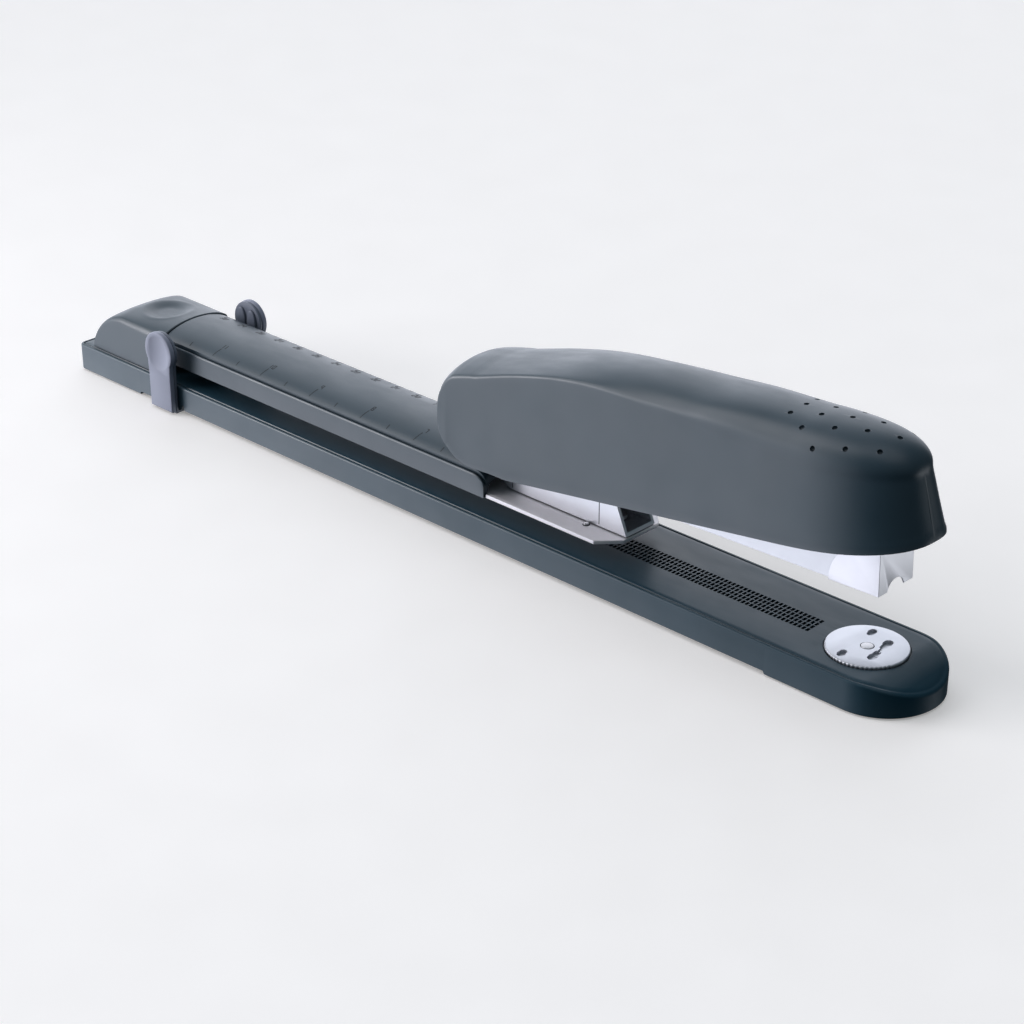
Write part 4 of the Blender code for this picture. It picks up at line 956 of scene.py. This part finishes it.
def make_guide():
    low, high = box("guide_clip_near")
    cx = (low.x + high.x) / 2
    head, stem = (high.x - low.x) / 2, GUIDE_STEM
    centre = high.z - head

    def outline(bottom, inset=0.0):
        left, right, neck = cx - stem + inset, cx + stem - inset, centre - head - 2
        points = [(left, bottom), (right, bottom), (right, neck)]
        return points + arc(cx, centre, head - inset, -32, 212, 64) + [(left, neck)]

    face, back = low.y, high.y
    plate = prism(outline(low.z), face, back, "y", 0.5, 4)
    dish = bmesh.new()
    bmesh.ops.create_uvsphere(dish, u_segments=96, v_segments=64, radius=GUIDE_DISH_RADIUS)
    place = Matrix.Translation((cx, face - GUIDE_DISH_RADIUS + GUIDE_DISH_DEPTH, centre - 0.4))
    moved(dish, place @ Matrix.Diagonal((1, 1, 1.15, 1)))
    near = carve(plate, dish)
    far = near.copy()
    moved(far, Matrix.Scale(-1, 4, (0, 1, 0)))
    bmesh.ops.reverse_faces(far, faces=far.faces)
    add("guide_clip_near_look", near, "grey_plastic", "paper_guide", ("guide_clip_near",), 30.0)
    add("guide_clip_far_look", far, "grey_plastic", "paper_guide", ("guide_clip_far",), 30.0)
    inner, split, floor = GUIDE_INNER, -back - 0.1, box("guide_carriage")[0].z
    body = block((cx - stem + 0.3, -split, floor), (cx + stem - 0.3, split, 1.0), 0.1)
    for low_y, high_y in ((-split, -inner), (inner, split)):
        body = carve(body, prism(outline(floor, 0.25), low_y, high_y, "y", 0.25, 2), "UNION")
    for side in (-1, 1):
        for x in (cx - GRIP_X, cx + GRIP_X):
            ys = sorted((side * (inner + 0.2), side * (inner - 0.9)))
            rib = prism(circle(x, centre, GRIP_RADIUS, 24), *ys, "y", 0.3)
            middle = Vector((x, 0, centre))
            stretch = Matrix.Diagonal((1, 1, GRIP_STRETCH, 1))
            moved(rib, Matrix.Translation(middle) @ stretch @ Matrix.Translation(-middle))
            body = carve(body, rib, "UNION")
    add("guide_carriage_look", body, "guide_inner", "paper_guide", ("guide_carriage",), 30.0)


# the upright coils: node, joint that flattens it, share of its length left then, wire radius, turns
UPRIGHT_COILS = [
    ("lift_spring", "magazine_pivot", 0.58, 0.45, 5),
    ("anvil_spring", "anvil_lift", 0.57, 0.35, 3),
    ("handle_spring", None, 1.0, 0.5, 6),
]
# the handle's coil, on the magazine's own level: x, foot, and how much shorter it is than its CAD node
HANDLE_COIL_X, HANDLE_COIL_FOOT, HANDLE_COIL_GAP = -113.0, 35.3, 3.4
FOLLOWER_COIL = dict(radius=1.35, wire=0.28, turns=30, closed_turns=2.0, per_turn=18, sides=8)
FOLLOWER_COIL_LEVEL, FOLLOWER_COIL_KEEP = 37.1, 0.16


def make_springs():
    for node, joint, keep, wire, turns in UPRIGHT_COILS:
        low, high = box(node)
        centre = (low + high) / 2
        radius = (high.y - low.y) / 2 - wire
        if joint:
            solid = moved(coil(radius, wire, low.z, high.z, turns), Matrix.Translation((centre.x, 0, 0)))
        else:
            tip = HANDLE_COIL_FOOT + (high.z - low.z) - HANDLE_COIL_GAP
            solid = coil(radius, wire, HANDLE_COIL_FOOT, tip, turns)
            solid = tilted(moved(solid, Matrix.Translation((HANDLE_COIL_X, 0, 0))))
        piece = add(node + "_look", solid, "spring_steel", NODE_BODY[node], (node,))
        if joint:
            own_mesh(piece)
    low, high = box("follower_spring")
    length = (high.x - low.x) / math.cos(TILT) - 0.1
    solid = coil(low=0, high=length, **FOLLOWER_COIL)
    place = Matrix.Translation((low.x + 0.15, 0, FOLLOWER_COIL_LEVEL))
    moved(solid, place @ Matrix.Rotation(math.pi / 2, 4, "Y"))
    node = "follower_spring"
    piece = add(node + "_look", tilted(solid), "spring_steel", NODE_BODY[node], (node,))
    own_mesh(piece)


FORM_LINES, FORM_LINE_TOP = (-139.5, -102.5), 30.5
STAKE_X, STAKE_OUT, STAKE_RADIUS, STAKE_RING = -106.5, 1.4, 0.85, 1.2


def make_bracket_details():
    """Dark strips down the bracket's near cheek, painted shade of its form lines, and a small stake on the
    plate beside it.
    """
    face, foot = box("pivot_bracket")[0].y, box("arm_plate")[1].z
    for x in FORM_LINES:
        # painted shade: a dark strip stands in for the shade of each form line
        line = block((x - 0.15, face - 0.03, foot + 1.0), (x + 0.15, face + 0.2, FORM_LINE_TOP))
        add("bracket_line_shade", line, "mark", "frame")
    middle = (STAKE_X, face - STAKE_OUT)
    ring = prism(circle(*middle, STAKE_RING, 32), foot - 0.1, foot + 0.08)
    stake = prism(circle(*middle, STAKE_RADIUS, 32), foot - 0.1, foot + 0.5, "z", 0.2, 3)
    add("plate_stake_ring", ring, "mark", "frame")
    add("plate_stake", stake, "bright_steel", "frame")


def refine_rest():
    """Gives every CAD node that no piece has replaced yet its own shape with softened edges."""
    done = {n for each in bpy.context.scene.objects for n in each.get("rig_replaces", [])}
    for node in frame["nodes"]:
        if node not in done:
            refined(node, 0.3 if NODE_SLOT[node] == "rubber" else 0.1)


# ---------------------------------------- studio

CAMERA_PLACE = (0.32957, -0.49442, 0.3501)
CAMERA_ANGLES = (43.9, 26.72)      # round from the near side, and up
CAMERA_LENS = 83.2
# soft patches of the sky: direction, inner and outer angle, strength, colour
LOBES = [
    ((0, 0, 1), 0, 180, 0.22, (0.8, 1.0, 1.12)),
    ((0.05, -0.1, 1.0), 5, 38, 0.8, (1.0, 0.97, 1.02)),
    ((-0.62, -0.44, 0.64), 5, 28, 2.0, (1.0, 0.98, 1.02)),
    ((-0.76, 0.62, 0.10), 12, 57, 1.52, (0.94, 0.965, 1.06)),
    ((-0.80, -0.56, -0.22), 8, 50, 1.80, (0.93, 0.965, 1.07)),
    ((0.62, 0.64, -0.45), 3, 26, 1.5, (0.96, 1.0, 1.05)),
]
# place, target, size, power and colour of each lamp
AREAS = [((-0.62, -0.42, 0.16), (-0.2, 0.0, 0.03), 0.25, 1.1, (1.0, 0.97, 1.0))]
BACKDROP = (0.83, 0.84, 0.86, 1.0)     # what the camera sees beyond the floor
FLOOR_REACH, FLOOR_LEVEL, FLOOR_GLOW = 20, -0.0001, 0.31
FLOOR_PALE = ((0.865, 0.840, 0.820), (0.885, 0.860, 0.840))


def make_studio():
    world = bpy.data.worlds.new("studio")
    bpy.context.scene.world = world
    world.use_nodes = True
    tree = world.node_tree
    tree.nodes.clear()
    link = tree.links.new

    def new(kind):
        return tree.nodes.new("ShaderNode" + kind)

    coords = new("TexCoord")

    def lobe(direction, inner, outer, strength, colour):
        dot = new("VectorMath")
        dot.operation = "DOT_PRODUCT"
        link(coords.outputs["Generated"], dot.inputs[0])
        dot.inputs[1].default_value = Vector(direction).normalized()
        step = new("MapRange")
        step.interpolation_type = "SMOOTHERSTEP"
        step.inputs["From Min"].default_value = math.cos(math.radians(outer))
        step.inputs["From Max"].default_value = math.cos(math.radians(inner))
        link(dot.outputs["Value"], step.inputs["Value"])
        tint = new("VectorMath")
        tint.operation = "SCALE"
        tint.inputs[0].default_value = [c * strength for c in colour]
        link(step.outputs["Result"], tint.inputs["Scale"])
        return tint.outputs["Vector"]

    total = None
    for each in LOBES:
        out = lobe(*each)
        if total is None:
            total = out
        else:
            plus = new("VectorMath")
            link(total, plus.inputs[0])
            link(out, plus.inputs[1])
            total = plus.outputs["Vector"]
    background = new("Background")
    link(total, background.inputs["Color"])
    backdrop = new("Background")
    backdrop.inputs["Color"].default_value = BACKDROP
    seen = new("LightPath")
    choose = new("MixShader")
    link(seen.outputs["Is Camera Ray"], choose.inputs["Fac"])
    link(background.outputs["Background"], choose.inputs[1])
    link(backdrop.outputs["Background"], choose.inputs[2])
    output = new("OutputWorld")
    link(choose.outputs["Shader"], output.inputs["Surface"])

    floor_mesh = bpy.data.meshes.new("floor")
    corners = [(FLOOR_REACH * x, FLOOR_REACH * y, 0) for x, y in ((-1, -1), (1, -1), (1, 1), (-1, 1))]
    floor_mesh.from_pydata(corners, [], [(0, 1, 2, 3)])
    floor = in_scene("floor", floor_mesh)
    floor.location.z = FLOOR_LEVEL
    look = Look("floor")
    grain = look.noise(40.0, 3.0)
    pale = look.mix(look.ramp(grain, 0.3, 0.7, 0.0, 1.0), *FLOOR_PALE)
    look.link(pale, look.shader.inputs["Base Color"])
    look.shader.inputs["Roughness"].default_value = 0.8
    look.shader.inputs["Specular IOR Level"].default_value = 0.1
    look.link(look.mix(1.0, pale, (1.0, 1.0, 1.0), "MULTIPLY"), look.shader.inputs["Emission Color"])
    look.shader.inputs["Emission Strength"].default_value = FLOOR_GLOW
    floor_mesh.materials.append(look.material)
    floor.visible_diffuse = False
    floor.visible_glossy = False

    for place, target, size, power, colour in AREAS:
        data = bpy.data.lights.new("softbox", "AREA")
        data.shape, data.size, data.energy, data.color = "DISK", size, power, colour
        lamp = in_scene("softbox", data)
        lamp.location = place
        lamp.rotation_mode = "QUATERNION"
        lamp.rotation_quaternion = (Vector(target) - Vector(place)).to_track_quat("-Z", "Y")

    camera_data = bpy.data.cameras.new("camera")
    camera_data.lens, camera_data.sensor_width = CAMERA_LENS, 36.0
    camera_data.clip_start, camera_data.clip_end = 0.01, 20.0
    camera = in_scene("camera", camera_data)
    azimuth, elevation = (math.radians(angle) for angle in CAMERA_ANGLES)
    level = math.cos(elevation)
    back = Vector((math.sin(azimuth) * level, -math.cos(azimuth) * level, math.sin(elevation)))
    camera.location = CAMERA_PLACE
    camera.rotation_mode = "QUATERNION"
    camera.rotation_quaternion = (-back).to_track_quat("-Z", "Y")
    bpy.context.scene.camera = camera
    bpy.context.scene.view_settings.view_transform = "Standard"


make_base()
make_anvil()
make_arm_cover()
make_ruler()
make_rear_housing()
make_handle()
make_guide()
make_springs()
make_bracket_details()
refine_rest()
make_studio()
